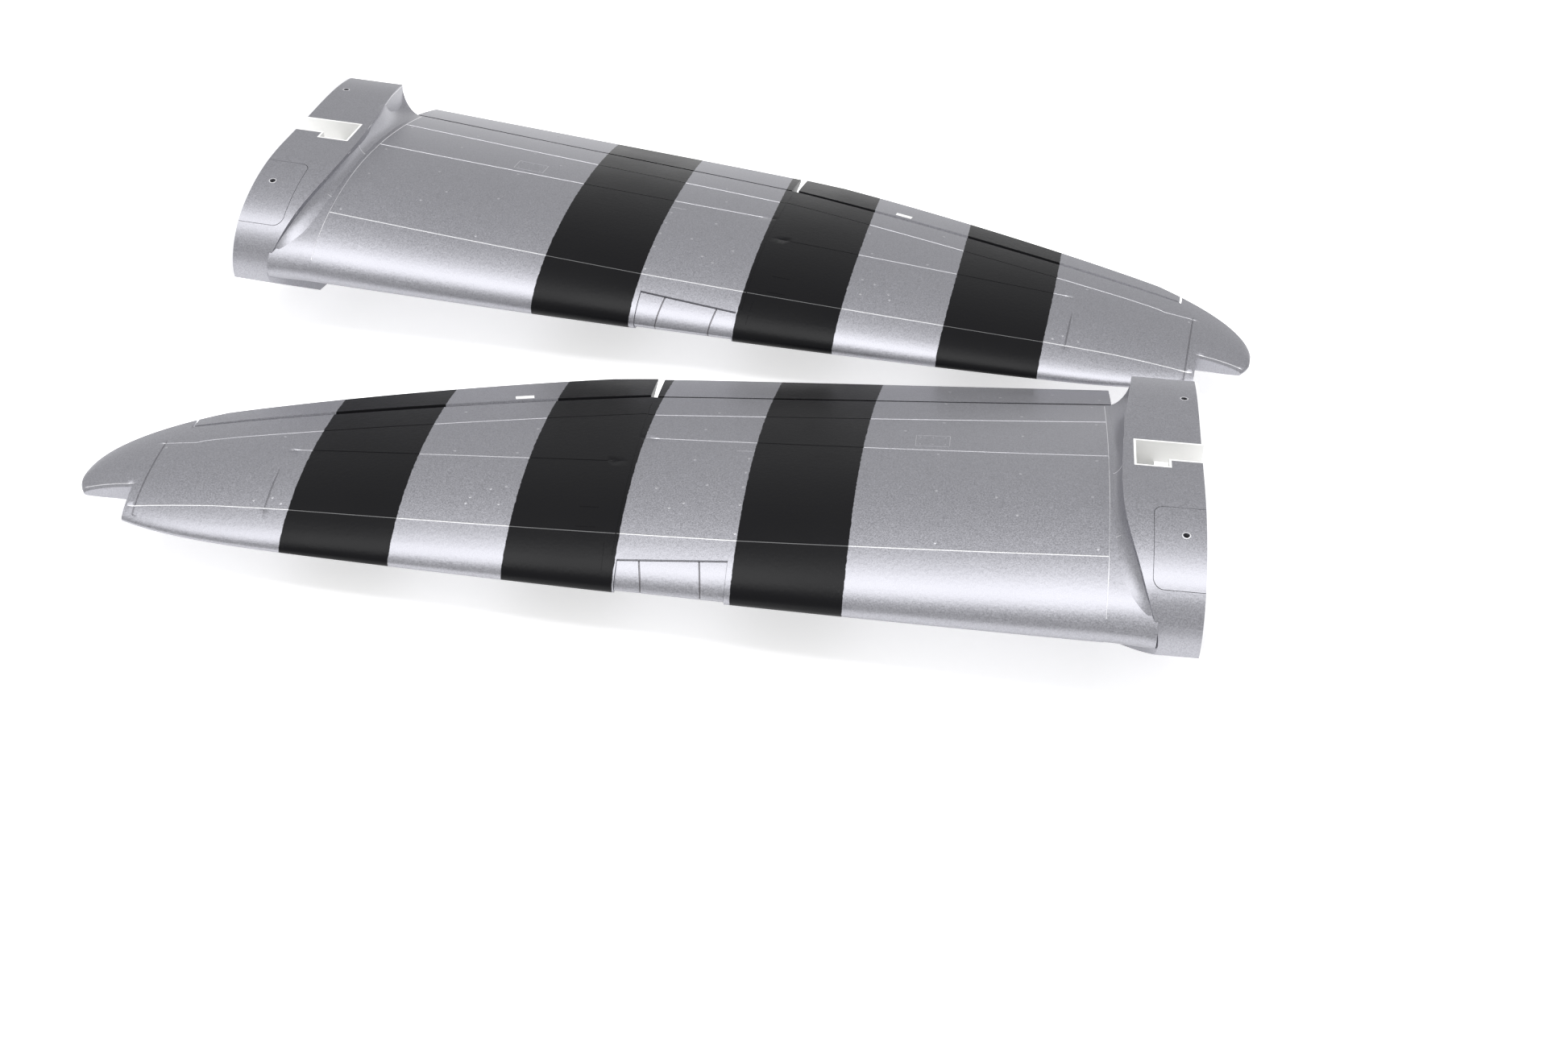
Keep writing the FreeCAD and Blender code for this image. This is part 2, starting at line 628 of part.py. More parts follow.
def build():
    """Every piece of the right-hand panel, by name."""
    parts = {}
    full = panel(STATIONS)
    root, fairing = root_block()
    side = block_side()
    core = full.fuse(root).fuse(fairing)

    # spaces behind the hinge lines
    middle = 0.5 * (FLAP_END + AILERON_START)
    gap = HINGE_GAP
    core = core.cut(prism([(-FAR, BLOCK_BACK), (PANEL_START, BLOCK_BACK),
                           (PANEL_START, line_at(FLAP_HINGE, PANEL_START) - gap),
                           (middle, line_at(FLAP_HINGE, middle) - gap), (middle, FAR), (-FAR, FAR)]))
    core = core.cut(prism([(middle, line_at(AILERON_HINGE, middle) - gap),
                           (TIP_WALL, line_at(AILERON_HINGE, TIP_WALL) - gap),
                           (TIP_WALL, FAR), (middle, FAR)]))
    aileron = surface(full, AILERON_LINE, AILERON_HINGE, AILERON_BEVEL, AILERON_BEVEL, -5.0)
    flap = surface(full, FLAP_LINE, FLAP_HINGE, FLAP_BEVEL_UP, FLAP_BEVEL_DOWN, FLAP_TRIM)

    # hinges
    rows = (("aileron", AILERON_LINE, HINGE_SPOTS_AILERON), ("flap", FLAP_LINE, HINGE_SPOTS_FLAP))
    for name, line, spots in rows:
        leaves, tongues, pins, front_notches, back_notches = hinge_set(line, spots)
        parts[name + "_hinge_leaves"] = leaves
        parts[name + "_hinge_tongues"] = tongues
        parts[name + "_hinge_pins"] = pins
        core = core.cut(leaves + front_notches)
        if name == "aileron":
            aileron = aileron.cut(tongues + back_notches)
        else:
            flap = flap.cut(tongues + back_notches)

    # linkages
    screws = []
    for name, link in LINKAGES.items():
        cover, plate = link.cover(full)
        fixings = link.cover_screws()
        screws += fixings
        core = core.cut([plate, link.bay()] + fixings)
        parts[name + "_servo_cover"] = cover.cut(fixings)
        parts[name + "_servo"] = link.servo()
        parts[name + "_servo_arm"] = link.arm()
        parts[name + "_pushrod"] = link.pushrod()
        horn = link.horn()
        if link.bolted:
            bolts = link.horn_screws()
            parts[name + "_horn"] = horn.cut(bolts)
            parts[name + "_horn_screws"] = bolts
            parts[name + "_horn_plate"] = link.horn_plate().cut(bolts)
            aileron = aileron.cut([horn, link.horn_plate()] + bolts)
        else:
            parts[name + "_horn"] = horn
            flap = flap.cut(horn)
    parts["servo_cover_screws"] = screws
    parts["aileron"] = aileron
    parts["flap"] = flap

    # root fittings
    spar_hole = rod_along_span(SPAR_BORE + SPAR_WALL, SPAR_LENGTH)
    parts["spar_socket"] = spar_hole.cut(rod_along_span(SPAR_BORE, SPAR_LENGTH - SPAR_WALL))
    holes = [upright(BOLT_BORE + SLEEVE_WALL, spot) for spot in BOLT_SPOTS]
    bores = [upright(BOLT_BORE, spot) for spot in BOLT_SPOTS]
    parts["bolt_sleeves"] = [hole.common(side).cut(bores) for hole in holes]
    tray, tray_space = wire_tray(side)
    parts["wire_tray"] = tray
    layer = crown_layer(HATCH_THICK)
    hatch = round_plan(0.0)
    recess = round_plan(HATCH_GAP)
    parts["root_hatch"] = layer.common(hatch).cut(holes)
    rib = box((0.0, RIB_THICK), (-FAR, FAR), (-FAR, FAR))
    open_top = tray_plan(0.0, TRAY_FLOOR - TRAY_WALL, TALL)
    parts["root_rib"] = side.common(rib).cut([spar_hole, open_top])
    core = core.cut([rib, spar_hole, tray_space, open_top, layer.common(recess)] + holes)

    # nose insert and tip light seat
    front = [(INSERT_FROM, -FAR), (INSERT_TO, -FAR), (INSERT_TO, INSERT_BACK), (INSERT_FROM, INSERT_BACK)]
    inner = panel([INSERT_FROM - 13.0, 0.5 * (INSERT_FROM + INSERT_TO), INSERT_TO + 15.0], INSERT_SET_IN)
    parts["nose_insert"] = inner.common(prism(front))
    core = core.cut(prism(front))
    recess = prism(light_plan(0.0))
    seat = full.common(recess).cut(prism(light_plan(SEAT_THICK)))
    core = core.cut(recess)
    parts["tip_light_seat"] = seat
    inboard = box((-FAR, FILLET_SPAN), (-FAR, FAR), (-FAR, FAR))
    parts["root_block"] = core.common(inboard)
    parts["wing_panel"] = core.cut(inboard)
    return parts


def rod_along_span(radius, length):
    """A round bar from the root face outboard, on the spar socket's axis."""
    return Part.makeCylinder(radius, length, at(0.0, SPAR_CHORD, SPAR_UP), V(-1, 0, 0))


def upright(radius, spot):
    """An upright bar through the block at a (span, chord) spot."""
    return Part.makeCylinder(radius, TALL - BASE, at(spot[0], spot[1], BASE), V(0, 0, 1))


LINKAGES = {"aileron": Linkage(AILERON_LINE, AILERON_LINK_AT, AILERON_ROD, True),
            "flap": Linkage(FLAP_LINE, FLAP_LINK_AT, FLAP_ROD, False)}
ORIGIN = at(0.0, SPAR_CHORD, SPAR_UP)


def to_left(shape):
    """Mirror image of a right-hand shape, laid in the left-hand panel's place."""
    made = shape.mirror(V(0, 0, 0), V(1, 0, 0))
    made.rotate(V(0, 0, 0), V(0, 0, 1), LEFT_YAW)
    made.translate(LEFT_PLACE)
    return made


def main():
    os.makedirs("parts", exist_ok=True)
    for name, shape in build().items():
        solids = shape if isinstance(shape, list) else [shape]
        solids = [solid for piece in solids for solid in piece.Solids]
        for hand in ("right", "left"):
            placed = [solid.copy() if hand == "right" else to_left(solid) for solid in solids]
            for solid in placed:
                solid.translate(ORIGIN * -1.0)
            group = placed[0] if len(placed) == 1 else Part.makeCompound(placed)
            group.exportStep("parts/" + hand + "_" + name + ".step")
            if hand == "right":
                closed = all(solid.isValid() for solid in placed)
                print(name, "solids", len(placed), "closed", closed, round(group.Volume))


if __name__ == "__main__":
    main()
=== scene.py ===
# %% [markdown]
# # A pair of silver wing panels for a model aeroplane
# Two moulded-foam panels lie side by side, one of each hand. Each has a root block with a hatch and
# a wire tray, an aileron, a flap, a nose insert, a tip light seat and two servo linkages. The moving
# shapes already exist in the frame, so this lesson gives them their finish and puts smooth, finely
# lined skins where a plain solid would look too simple.

# %% Load the frame
import json
import math

import bmesh
import bpy
import numpy as np
from mathutils import Matrix, Vector


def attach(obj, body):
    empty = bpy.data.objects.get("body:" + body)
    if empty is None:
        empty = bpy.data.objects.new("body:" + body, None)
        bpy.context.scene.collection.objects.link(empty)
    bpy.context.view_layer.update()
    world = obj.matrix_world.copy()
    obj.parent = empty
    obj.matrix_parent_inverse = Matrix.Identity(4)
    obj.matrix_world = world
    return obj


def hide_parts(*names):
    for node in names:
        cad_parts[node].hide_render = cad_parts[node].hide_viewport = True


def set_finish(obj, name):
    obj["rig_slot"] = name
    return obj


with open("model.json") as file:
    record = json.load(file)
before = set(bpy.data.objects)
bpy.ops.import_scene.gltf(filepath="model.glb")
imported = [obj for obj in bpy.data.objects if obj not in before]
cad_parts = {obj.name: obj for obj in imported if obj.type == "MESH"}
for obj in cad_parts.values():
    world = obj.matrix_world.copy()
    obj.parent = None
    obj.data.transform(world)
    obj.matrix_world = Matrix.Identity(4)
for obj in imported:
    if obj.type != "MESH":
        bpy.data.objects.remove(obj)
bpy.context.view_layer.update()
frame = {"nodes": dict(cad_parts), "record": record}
nodes = frame["nodes"]

# %% [markdown]
# ## Panel directions
# A point of a panel is given by its span (root face to tip), its chord (front to back) and its
# height above the bench, in millimetres. One function per hand turns arrays of such points into the
# frame's metres, so that every piece is worked out once and laid twice.

# %% Panel directions
MM = 0.001
SPAR_CHORD, SPAR_UP = 94.0, 31.0
LEFT_YAW = math.radians(-6.2)
LEFT_PLACE = (-708.0, 338.0)
HANDS = ("right", "left")


def place(hand, span, chord, up):
    """Panel points in the frame. Right: x is minus span. Left: span and chord turned by the yaw and
    then moved. Both are counted from the mouth of the right-hand spar socket."""
    span, chord, up = np.broadcast_arrays(span, chord, up)
    if hand == "right":
        x, y = -span, chord
    else:
        x = span * math.cos(LEFT_YAW) - chord * math.sin(LEFT_YAW) + LEFT_PLACE[0]
        y = span * math.sin(LEFT_YAW) + chord * math.cos(LEFT_YAW) + LEFT_PLACE[1]
    return np.stack([x, y - SPAR_CHORD, up - SPAR_UP], -1) * MM


print("root face of the left panel at", place("left", 0.0, 0.0, 0.0).round(3))

# %% [markdown]
# ## The wing surface as formulas
# The panel is a smooth function of span and chord: a nose line, a tail line, and a section whose
# half thickness follows the usual four-digit wing formula. Writing it as whole arrays means that any
# piece that lies on the skin, however small, can ask for its height there and fit exactly.

# %% Wing surface
SPAN, TIP_CHORD, PANEL_START = 750.0, 93.0, 57.0
NOSE_AT_ROOT, ROOT_CHORD, NOSE_SWEEP, TAIL_SWEEP = -14.5, 308.0, 0.082, -0.10
ROOT_THICKNESS, TIP_THICKNESS = 0.16, 0.10
ROOT_CAMBER, TIP_CAMBER, CAMBER_AT = 0.050, 0.030, 0.45
NOSE_RISE, TIP_HEIGHT, TAIL_HEIGHT, TAIL_THICK = 29.0, 5.2, 4.2, 1.5


def nose(span):
    """Chord of the nose: a straight sweep that rounds into the tip as a flattened ellipse."""
    line = NOSE_AT_ROOT + NOSE_SWEEP * (span - 55.0)
    share = np.clip((span - 0.747 * SPAN) / (0.253 * SPAN), 0.0, 1.0)
    return TIP_CHORD - (TIP_CHORD - line) * np.sqrt(1.0 - share ** 4.2)


def tail(span):
    """Chord of the trailing edge: straight inboard, then part of an ellipse to the tip."""
    line = NOSE_AT_ROOT + ROOT_CHORD + 5.0 + TAIL_SWEEP * (span - PANEL_START)
    share = np.clip((span - 0.40 * SPAN) / (0.60 * SPAN), 0.0, 1.0)
    return TIP_CHORD + (line - TIP_CHORD) * np.sqrt(1.0 - share ** 2.42)


def skin(span, chord, set_in=0.0):
    """Upper and lower height of the skin: the section's mean line, plus and minus its half
    thickness, with the section drawn in by set_in."""
    span, chord = np.broadcast_arrays(np.asarray(span, float), np.asarray(chord, float))
    out = np.clip((span - PANEL_START) / (SPAN - PANEL_START), 0.0, 1.0)
    long = tail(span) - nose(span) - set_in
    x = np.clip((chord - nose(span) - set_in) / long, 0.0, 1.0)
    full = tail(span) - nose(span)
    thick = ROOT_THICKNESS + (TIP_THICKNESS - ROOT_THICKNESS) * out
    camber = ROOT_CAMBER + (TIP_CAMBER - ROOT_CAMBER) * out
    half = 5.0 * thick * (0.2969 * np.sqrt(x) - 0.126 * x - 0.3516 * x ** 2
                          + 0.2843 * x ** 3 - 0.1036 * x ** 4)
    front = camber / CAMBER_AT ** 2 * (2.0 * CAMBER_AT * x - x * x)
    back = camber / (1.0 - CAMBER_AT) ** 2 * (1.0 - 2.0 * CAMBER_AT + 2.0 * CAMBER_AT * x - x * x)
    line = np.where(x < CAMBER_AT, front, back)
    rise = TIP_HEIGHT + NOSE_RISE * (1.0 - out) ** 1.7
    middle = rise + (TAIL_HEIGHT - rise) * x + line * full
    reach = np.maximum(0.0, half * full - set_in) + TAIL_THICK / 2.0 * x
    return middle + reach, middle - reach


print("skin at mid span", [round(float(h), 1) for h in skin(375.0, 120.0)])

# %% [markdown]
# ## Turning arrays into meshes
# Every new piece is closed and points outwards. A mesh is filled from arrays, doubles are merged
# where two sheets meet at the nose, the normals are worked out again, and edges sharper than a
# chosen angle stay crisp while the rest shades smoothly.

# %% Mesh helper
SHARP = math.radians(34.0)


def mesh_object(name, hand, body, points, faces, marks=None, merge=1e-6):
    """An object at the origin from panel points (n, 3) and a list of face index arrays. marks is a
    value per point, kept as the attribute 'line' that the paint reads."""
    points = np.asarray(points, float)
    mesh = bpy.data.meshes.new(name)
    mesh.from_pydata(place(hand, points[:, 0], points[:, 1], points[:, 2]).tolist(), [], faces)
    layer = mesh.attributes.new("line", "FLOAT", "POINT")
    layer.data.foreach_set("value", np.zeros(len(points)) if marks is None else np.asarray(marks, float))
    work = bmesh.new()
    work.from_mesh(mesh)
    bmesh.ops.remove_doubles(work, verts=work.verts, dist=merge)
    bmesh.ops.dissolve_degenerate(work, dist=merge, edges=work.edges)
    loose = [v for v in work.verts if not v.link_faces]
    bmesh.ops.delete(work, geom=loose, context="VERTS")
    bmesh.ops.recalc_face_normals(work, faces=work.faces)
    work.to_mesh(mesh)
    work.free()
    mesh.shade_smooth()
    mesh.set_sharp_from_angle(angle=SHARP)
    made = bpy.data.objects.new(name, mesh)
    bpy.context.scene.collection.objects.link(made)
    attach(made, f"{hand}_{body}")
    return made


def two_sheets(upper, lower, cells):
    """Points and faces of a closed shell: an upper and a lower grid of points (rows, columns, 3), the
    cells of it that exist, and a wall wherever an existing cell has no neighbour."""
    rows, columns = upper.shape[:2]
    index = np.arange(rows * columns).reshape(rows, columns)
    below = index + rows * columns
    points = np.concatenate([upper.reshape(-1, 3), lower.reshape(-1, 3)])
    i, j = np.nonzero(cells)
    corners = [(i, j), (i + 1, j), (i + 1, j + 1), (i, j + 1)]
    top = np.stack([index[a, b] for a, b in corners], -1)
    bottom = np.stack([below[a, b] for a, b in corners[::-1]], -1)
    faces = [top, bottom]
    padded = np.pad(cells, 1)
    for (da, db), first, second in (((-1, 0), 0, 3), ((1, 0), 1, 2), ((0, -1), 0, 1), ((0, 1), 3, 2)):
        rim = ~padded[i + 1 + da, j + 1 + db]
        a, b = (corners[k] for k in (first, second))
        faces.append(np.stack([index[a][rim], index[b][rim], below[b][rim], below[a][rim]], -1))
    return points, np.concatenate(faces).tolist()


print("sharp above", round(math.degrees(SHARP)), "degrees")

# %% [markdown]
# ## Panel lines
# The moulded skin is divided by shallow grooves. A groove is only crisp if mesh columns run along
# it, so the grid's columns are hung on the grooves themselves: each line brings four columns, two
# for its lips and two for its floor, and the floor columns are pressed in where the line exists.

# %% Lines along the span
GROOVE_LIP, GROOVE_FLOOR, GROOVE_DEEP = 0.58, 0.30, 0.34
FILLET_SPAN, TIP_WALL, LIGHT_FROM, LAST = 62.0, 693.0, 709.0, 749.4
FLAP_HINGE = ((57.0, 250.5), (376.0, 224.5))
AILERON_HINGE = ((381.0, 224.5), (691.5, 156.5))
HINGE_GAP, LIGHT_BACK, INSERT_BACK = 1.0, 78.0, 27.5
INSERT_FROM, INSERT_TO = 303.0, 375.0
SPLIT = 378.5     # the flap's hinge line inboard of here, the aileron's outboard
LEDGE = 2.2       # the tip light's groove lies this far behind the notch


def hinge_line(ends, span):
    """Chord of a straight hinge line at a span."""
    (s0, c0), (s1, c1) = ends
    return c0 + (c1 - c0) * (span - s0) / (s1 - s0)


def front_line(span):
    """The long line behind the nose, a gentle arch from root to tip."""
    return np.interp(span, [62.0, 300.0, 420.0, 525.0, 600.0, 650.0, 706.0],
                     [34.2, 43.2, 49.3, 54.8, 58.8, 60.2, 59.2])


def rear_line(span):
    """The line ahead of the hinges: straight along the flap, then along the aileron."""
    return np.interp(span, [62.0, 374.0, 380.0, 652.0, 676.0, 680.0, 706.0],
                     [209.4, 190.7, 192.5, 139.9, 134.4, 131.4, 130.3])


def hinge_edge(span):
    """Back edge of the skin, a little ahead of whichever hinge is there."""
    flap, aileron = hinge_line(FLAP_HINGE, span), hinge_line(AILERON_HINGE, span)
    return np.where(span < SPLIT, flap, aileron) - HINGE_GAP


def light_edge(span):
    """Back edge of the tip light's notch."""
    return np.interp(span, [LIGHT_FROM, 722.0, 738.0, 760.0], [LIGHT_BACK, 78.0, 77.0, 75.5])


def guides(span):
    """The grid's guide lines at each span, front to back, and which of them carry a groove."""
    middle = np.interp(span, [62.0, 387.0, 613.0, 706.0], [121.5, 121.5, 123.4, 117.8])
    rear = rear_line(span)
    second = np.where(span <= 374.0, 148.0 + 6.0 * (span - 62.0) / 312.0,
                      middle + 0.468 * (rear - middle))
    insert = np.where(span <= 376.0, INSERT_BACK,
                      nose(span) + 0.446 * (front_line(span) - nose(span)))
    lens = np.maximum(light_edge(span), nose(span))
    lines = np.stack([nose(span), insert, front_line(span), lens, lens + LEDGE, middle, second, rear,
                      hinge_edge(span), tail(span)], -1)
    beyond = span > LIGHT_FROM
    at_light = guides(np.array([LIGHT_FROM]))[0] if beyond.any() else None
    if at_light is not None:
        share = (at_light[5:9] - at_light[3]) / (at_light[9] - at_light[3])
        outer = lens[:, None] + share * (tail(span) - lens)[:, None]
        lines[beyond, 5:9] = outer[beyond]
        lines[beyond, 4] = (lens + np.minimum(LEDGE, 0.2 * (tail(span) - lens)))[beyond]
    return lines


# guide: first span, last span, and the mark the paint reads (above zero a painted highlight, below zero
# dark)
GROOVED = {2: (62.0, 706.0, 1.0), 4: (711.0, 744.0, 0.8), 5: (387.0, 613.0, 0.62),
           6: (62.0, 374.0, 0.62), 7: (62.0, 706.3, 0.62)}
CROSS_MARK = -0.45
ROUND_STRIPS = (0, 3)
STEPS = (13, 3, 5, 3, 6, 5, 6, 6, 3)
print("guide lines at the root", guides(np.array([62.0])).round(1).tolist())

# %% [markdown]
# ## The wing skin
# Rows of the grid stand at chosen spans, with four rows at each line that runs front to back. Two
# strips are spaced by the square of their step, so that columns crowd where the section is round:
# the first, and the one behind the tip light's notch, which starts at the nose beyond the notch.
# The same grid serves the whole skin: cells are switched off for the hinge cut-outs, the nose
# insert and the notch of the tip light.

# %% Rows and columns
CROSS_LINES = ((615.0, 58.0, 98.0), (703.5, 52.0, 131.0))
# rows up to the tip wall, up to the notch and up to the tip, where the last ones crowd
ROWS, TIP_CROWD, ROW_ROOM = (116, 6, 18), 1.5, 1.2


def groove_stops(at):
    """Where a groove's lips and floor edges stand."""
    return [at - GROOVE_LIP, at - GROOVE_FLOOR, at + GROOVE_FLOOR, at + GROOVE_LIP]


def spans():
    """Spans of the grid rows: an even spread, plus the rows that edges and cross lines need."""
    to_tip = LAST - (LAST - LIGHT_FROM) * np.linspace(1.0, 0.0, ROWS[2]) ** TIP_CROWD
    even = np.concatenate([np.linspace(FILLET_SPAN, TIP_WALL, ROWS[0]),
                           np.linspace(TIP_WALL, LIGHT_FROM, ROWS[1]), to_tip])
    fixed = [INSERT_FROM, INSERT_TO] + [s for at, _, _ in CROSS_LINES for s in groove_stops(at)]
    even = even[[min(abs(v - f) for f in fixed) > ROW_ROOM for v in even]]
    return np.unique(np.round(np.concatenate([even, fixed]), 3))


def columns_of(lines):
    """Chord of every column, and the guide whose groove floor it is (or -1)."""
    columns, floor_of = [lines[:, 0]], [-1]
    for k, steps in enumerate(STEPS):
        first = lines[:, k] + (GROOVE_LIP if k in GROOVED else 0.0)
        last = lines[:, k + 1] - (GROOVE_LIP if k + 1 in GROOVED else 0.0)
        for t in np.linspace(0.0, 1.0, steps + 1)[1:]:
            t = t * t if k in ROUND_STRIPS else t
            columns.append(first + (last - first) * t)
            floor_of.append(-1)
        if k + 1 in GROOVED:
            for off in (-GROOVE_FLOOR, GROOVE_FLOOR, GROOVE_LIP):
                columns.append(lines[:, k + 1] + off)
                floor_of.append(k + 1 if off != GROOVE_LIP else -1)
    return np.stack(columns, -1), np.array(floor_of)


def wing_grid():
    """Upper and lower points, cells and line marks of the wing skin."""
    s = spans()
    lines = guides(s)
    chord, floor_of = columns_of(lines)
    span = np.repeat(s[:, None], chord.shape[1], 1)
    marks = np.zeros(chord.shape)
    for k, (start, end, mark) in GROOVED.items():
        marks[np.ix_((s >= start) & (s <= end), floor_of == k)] = mark
    for at, c0, c1 in CROSS_LINES:
        rows = np.abs(s - at) < GROOVE_FLOOR + 0.01
        crossed = (chord[rows] > c0) & (chord[rows] < c1) & (marks[rows] == 0.0)
        marks[rows] += CROSS_MARK * crossed
    top, under = skin(span, chord)
    upper = np.stack([span, chord, top - GROOVE_DEEP * (marks != 0.0)], -1)
    lower = np.stack([span, chord, under], -1)
    mid_s = 0.5 * (span[:-1, :-1] + span[1:, 1:])
    mid_c = 0.25 * (chord[:-1, :-1] + chord[1:, 1:] + chord[:-1, 1:] + chord[1:, :-1])
    here = guides(0.5 * (s[:-1] + s[1:]))
    cells = (mid_s > TIP_WALL) | (mid_c < here[:, 8:9])
    cells &= ~((mid_s > INSERT_FROM) & (mid_s < INSERT_TO) & (mid_c < here[:, 1:2]))
    cells &= ~((mid_s > LIGHT_FROM) & (mid_c < here[:, 3:4]))
    return upper, lower, cells, np.concatenate([marks.ravel(), np.zeros(marks.size)])


wing_top, wing_under, wing_cells, wing_marks = wing_grid()
wing_points, wing_faces = two_sheets(wing_top, wing_under, wing_cells)
wings = {}
for hand in HANDS:
    wings[hand] = mesh_object(f"{hand}_wing_skin", hand, "panel", wing_points, wing_faces, wing_marks)
    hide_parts(f"{hand}_wing_panel")
    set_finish(wings[hand], "painted_foam")
print("wing skin", len(wings["right"].data.vertices), "points")

# %% [markdown]
# ## Room for the servo covers
# Each servo sits in a bay that opens through the lower skin and is closed by a cover lying flush
# with that skin. The covers are frame pieces, so the new skin only has to leave their room free: an
# upright cutter shaped like the cover, whose top follows the lower skin, is taken away from it.

# %% Servo bays
COVER_SPAN, COVER_REACH, COVER_DEEP, CUTTER_FOOT = (-30.0, 10.0), (-15.0, 26.0), 1.6, -40.0
BAY_SPAN, BAY_REACH, BAY_DEEP, CUTTER_SIDE = (-26.0, 5.0), (-11.0, 21.5), 15.2, 7
LINKS = ((AILERON_HINGE, 88.0, 72.0), (FLAP_HINGE, 158.0, 74.0))   # hinge, arm along it, pushrod


def cutter(hand, ends, spot, shaft, along, reach, deep):
    """A prism over a patch of the plan, from below the wing up to a depth above the lower skin."""
    a, b = np.meshgrid(np.linspace(*along, CUTTER_SIDE),
                       np.linspace(shaft + reach[0], shaft + reach[1], CUTTER_SIDE), indexing="ij")
    (s0, c0), (s1, c1) = ends
    long = math.hypot(s1 - s0, c1 - c0)
    span = s0 + (spot + a) * (s1 - s0) / long + b * (c1 - c0) / long
    chord = c0 + (spot + a) * (c1 - c0) / long - b * (s1 - s0) / long
    under = skin(span, chord)[1]
    upper = np.stack([span, chord, under + deep], -1)
    lower = np.stack([span, chord, np.full_like(span, CUTTER_FOOT)], -1)
    points, faces = two_sheets(upper, lower, np.ones((CUTTER_SIDE - 1, CUTTER_SIDE - 1), bool))
    return mesh_object(f"{hand}_cutter", hand, "panel", points, faces)


def take_away(piece, tool):
    """Boolean difference, applied, with the tool removed."""
    step = piece.modifiers.new("room", "BOOLEAN")
    step.operation, step.solver, step.object = "DIFFERENCE", "EXACT", tool
    graph = bpy.context.evaluated_depsgraph_get()
    finished = bpy.data.meshes.new_from_object(piece.evaluated_get(graph), depsgraph=graph)
    piece.modifiers.clear()
    piece.data = finished
    bpy.data.objects.remove(tool)


for hand in HANDS:
    for ends, spot, shaft in LINKS:
        take_away(wings[hand], cutter(hand, ends, spot, shaft, COVER_SPAN, COVER_REACH, COVER_DEEP))
        take_away(wings[hand], cutter(hand, ends, spot, shaft, BAY_SPAN, BAY_REACH, BAY_DEEP))
    wings[hand].data.set_sharp_from_angle(angle=SHARP)
print("wing skin with bays", len(wings["right"].data.polygons), "faces")

# %% [markdown]
# ## The nose insert
# A separate piece of the nose is set in between the root and the tip. It is the same section drawn
# in by a millimetre, with two joints that run round it from front to back and lean a little.

# %% Nose insert
INSERT_SET_IN, INSERT_GAP = 1.0, 0.25
INSERT_JOINTS = (320.0, 359.0)
JOINT_LEAN, JOINT_MARK = 3.0, -0.9


def insert_grid():
    """Rows lean with the joints; the columns are squares again, to follow the round nose."""
    even = [v for v in np.linspace(INSERT_FROM + INSERT_GAP, INSERT_TO - INSERT_GAP, 22)
            if min(abs(v - at) for at in INSERT_JOINTS) > 1.2]
    s = np.sort(np.concatenate([even] + [groove_stops(at) for at in INSERT_JOINTS]))
    t = np.linspace(0.0, 1.0, 16)[None, :] ** 2
    inside = np.clip(np.minimum(s - s[0], s[-1] - s) / 12.0, 0.0, 1.0)[:, None]
    span = s[:, None] + JOINT_LEAN * inside * (t - 0.5)
    front = nose(span) + INSERT_SET_IN
    chord = front + (INSERT_BACK - INSERT_GAP - front) * t
    top, under = skin(span, chord, INSERT_SET_IN)
    in_joint = np.min(np.abs(s[:, None] - np.array(INSERT_JOINTS)), 1) < GROOVE_FLOOR + 0.01
    joint = np.repeat(in_joint[:, None], chord.shape[1], 1)
    marks = JOINT_MARK * joint
    press = GROOVE_DEEP * joint * (t > 0.0)
    shell = np.stack([span, chord, top - press], -1), np.stack([span, chord, under + press], -1)
    return *shell, np.concatenate([marks.ravel(), marks.ravel()])


insert_top, insert_under, insert_marks = insert_grid()
insert_cells = np.ones((insert_top.shape[0] - 1, insert_top.shape[1] - 1), bool)
insert_points, insert_faces = two_sheets(insert_top, insert_under, insert_cells)
inserts = []
for hand in HANDS:
    piece = mesh_object(f"{hand}_nose_insert_skin", hand, "panel", insert_points, insert_faces,
                        insert_marks)
    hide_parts(f"{hand}_nose_insert")
    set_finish(piece, "painted_foam")
    inserts.append(piece)
print("nose insert", len(inserts[0].data.vertices), "points")

# %% [markdown]
# ## Small raised marks
# Fasteners show as low round dots, and short joints, plates and ticks as fine raised ribs. Both are
# worked out in plan first and then laid on the skin, so they bend with it. A rib is a flat-topped
# strip carried along a line; its foot sinks just under the skin so that no gap shows.

# %% Dots
# the dots carry a value of 'line' above zero, a painted highlight on them in the silver
DOT_ROUND, DOT_HIGH, DOT_SINK, DOT_SIDES = 1.15, 0.20, 0.15, 14
DOT_HIGHLIGHT, PLATE_DOT_ROUND, MARK_ROOM = 0.25, 0.7, 2.0
DOTS = ((171, 268), (135, 258), (98, 272), (65, 262), (173, 237), (120, 215), (71, 242),
        (173, 197), (69, 203), (119, 177), (199, 180), (70, 140), (175, 144), (120, 119),
        (174, 96), (73, 92), (135, 90), (121, 71), (172, 44), (69, 40), (329, 199), (335, 170),
        (337, 126), (325, 96), (505, 185), (450, 162), (501, 128), (458, 128), (468, 85),
        (458, 88), (480, 76), (482, 70), (460, 70), (358, 91), (347, 71), (338, 76), (612, 69),
        (605, 64), (624, 66), (622, 141), (612, 123), (701, 124), (301, 130), (301, 112),
        (301, 95), (301, 76), (301, 49))
PLATE_DOTS = tuple((s, c) for s in (171, 179.5, 188) for c in (159, 170))


def fixed_skin(span):
    """Chords between which a mark lies on the skin that does not turn."""
    return nose(span), hinge_edge(span) - MARK_ROOM


def flap_skin(span):
    """Chords between which a mark lies on the flap."""
    return hinge_edge(span) + 2.0 * MARK_ROOM, tail(span) - MARK_ROOM


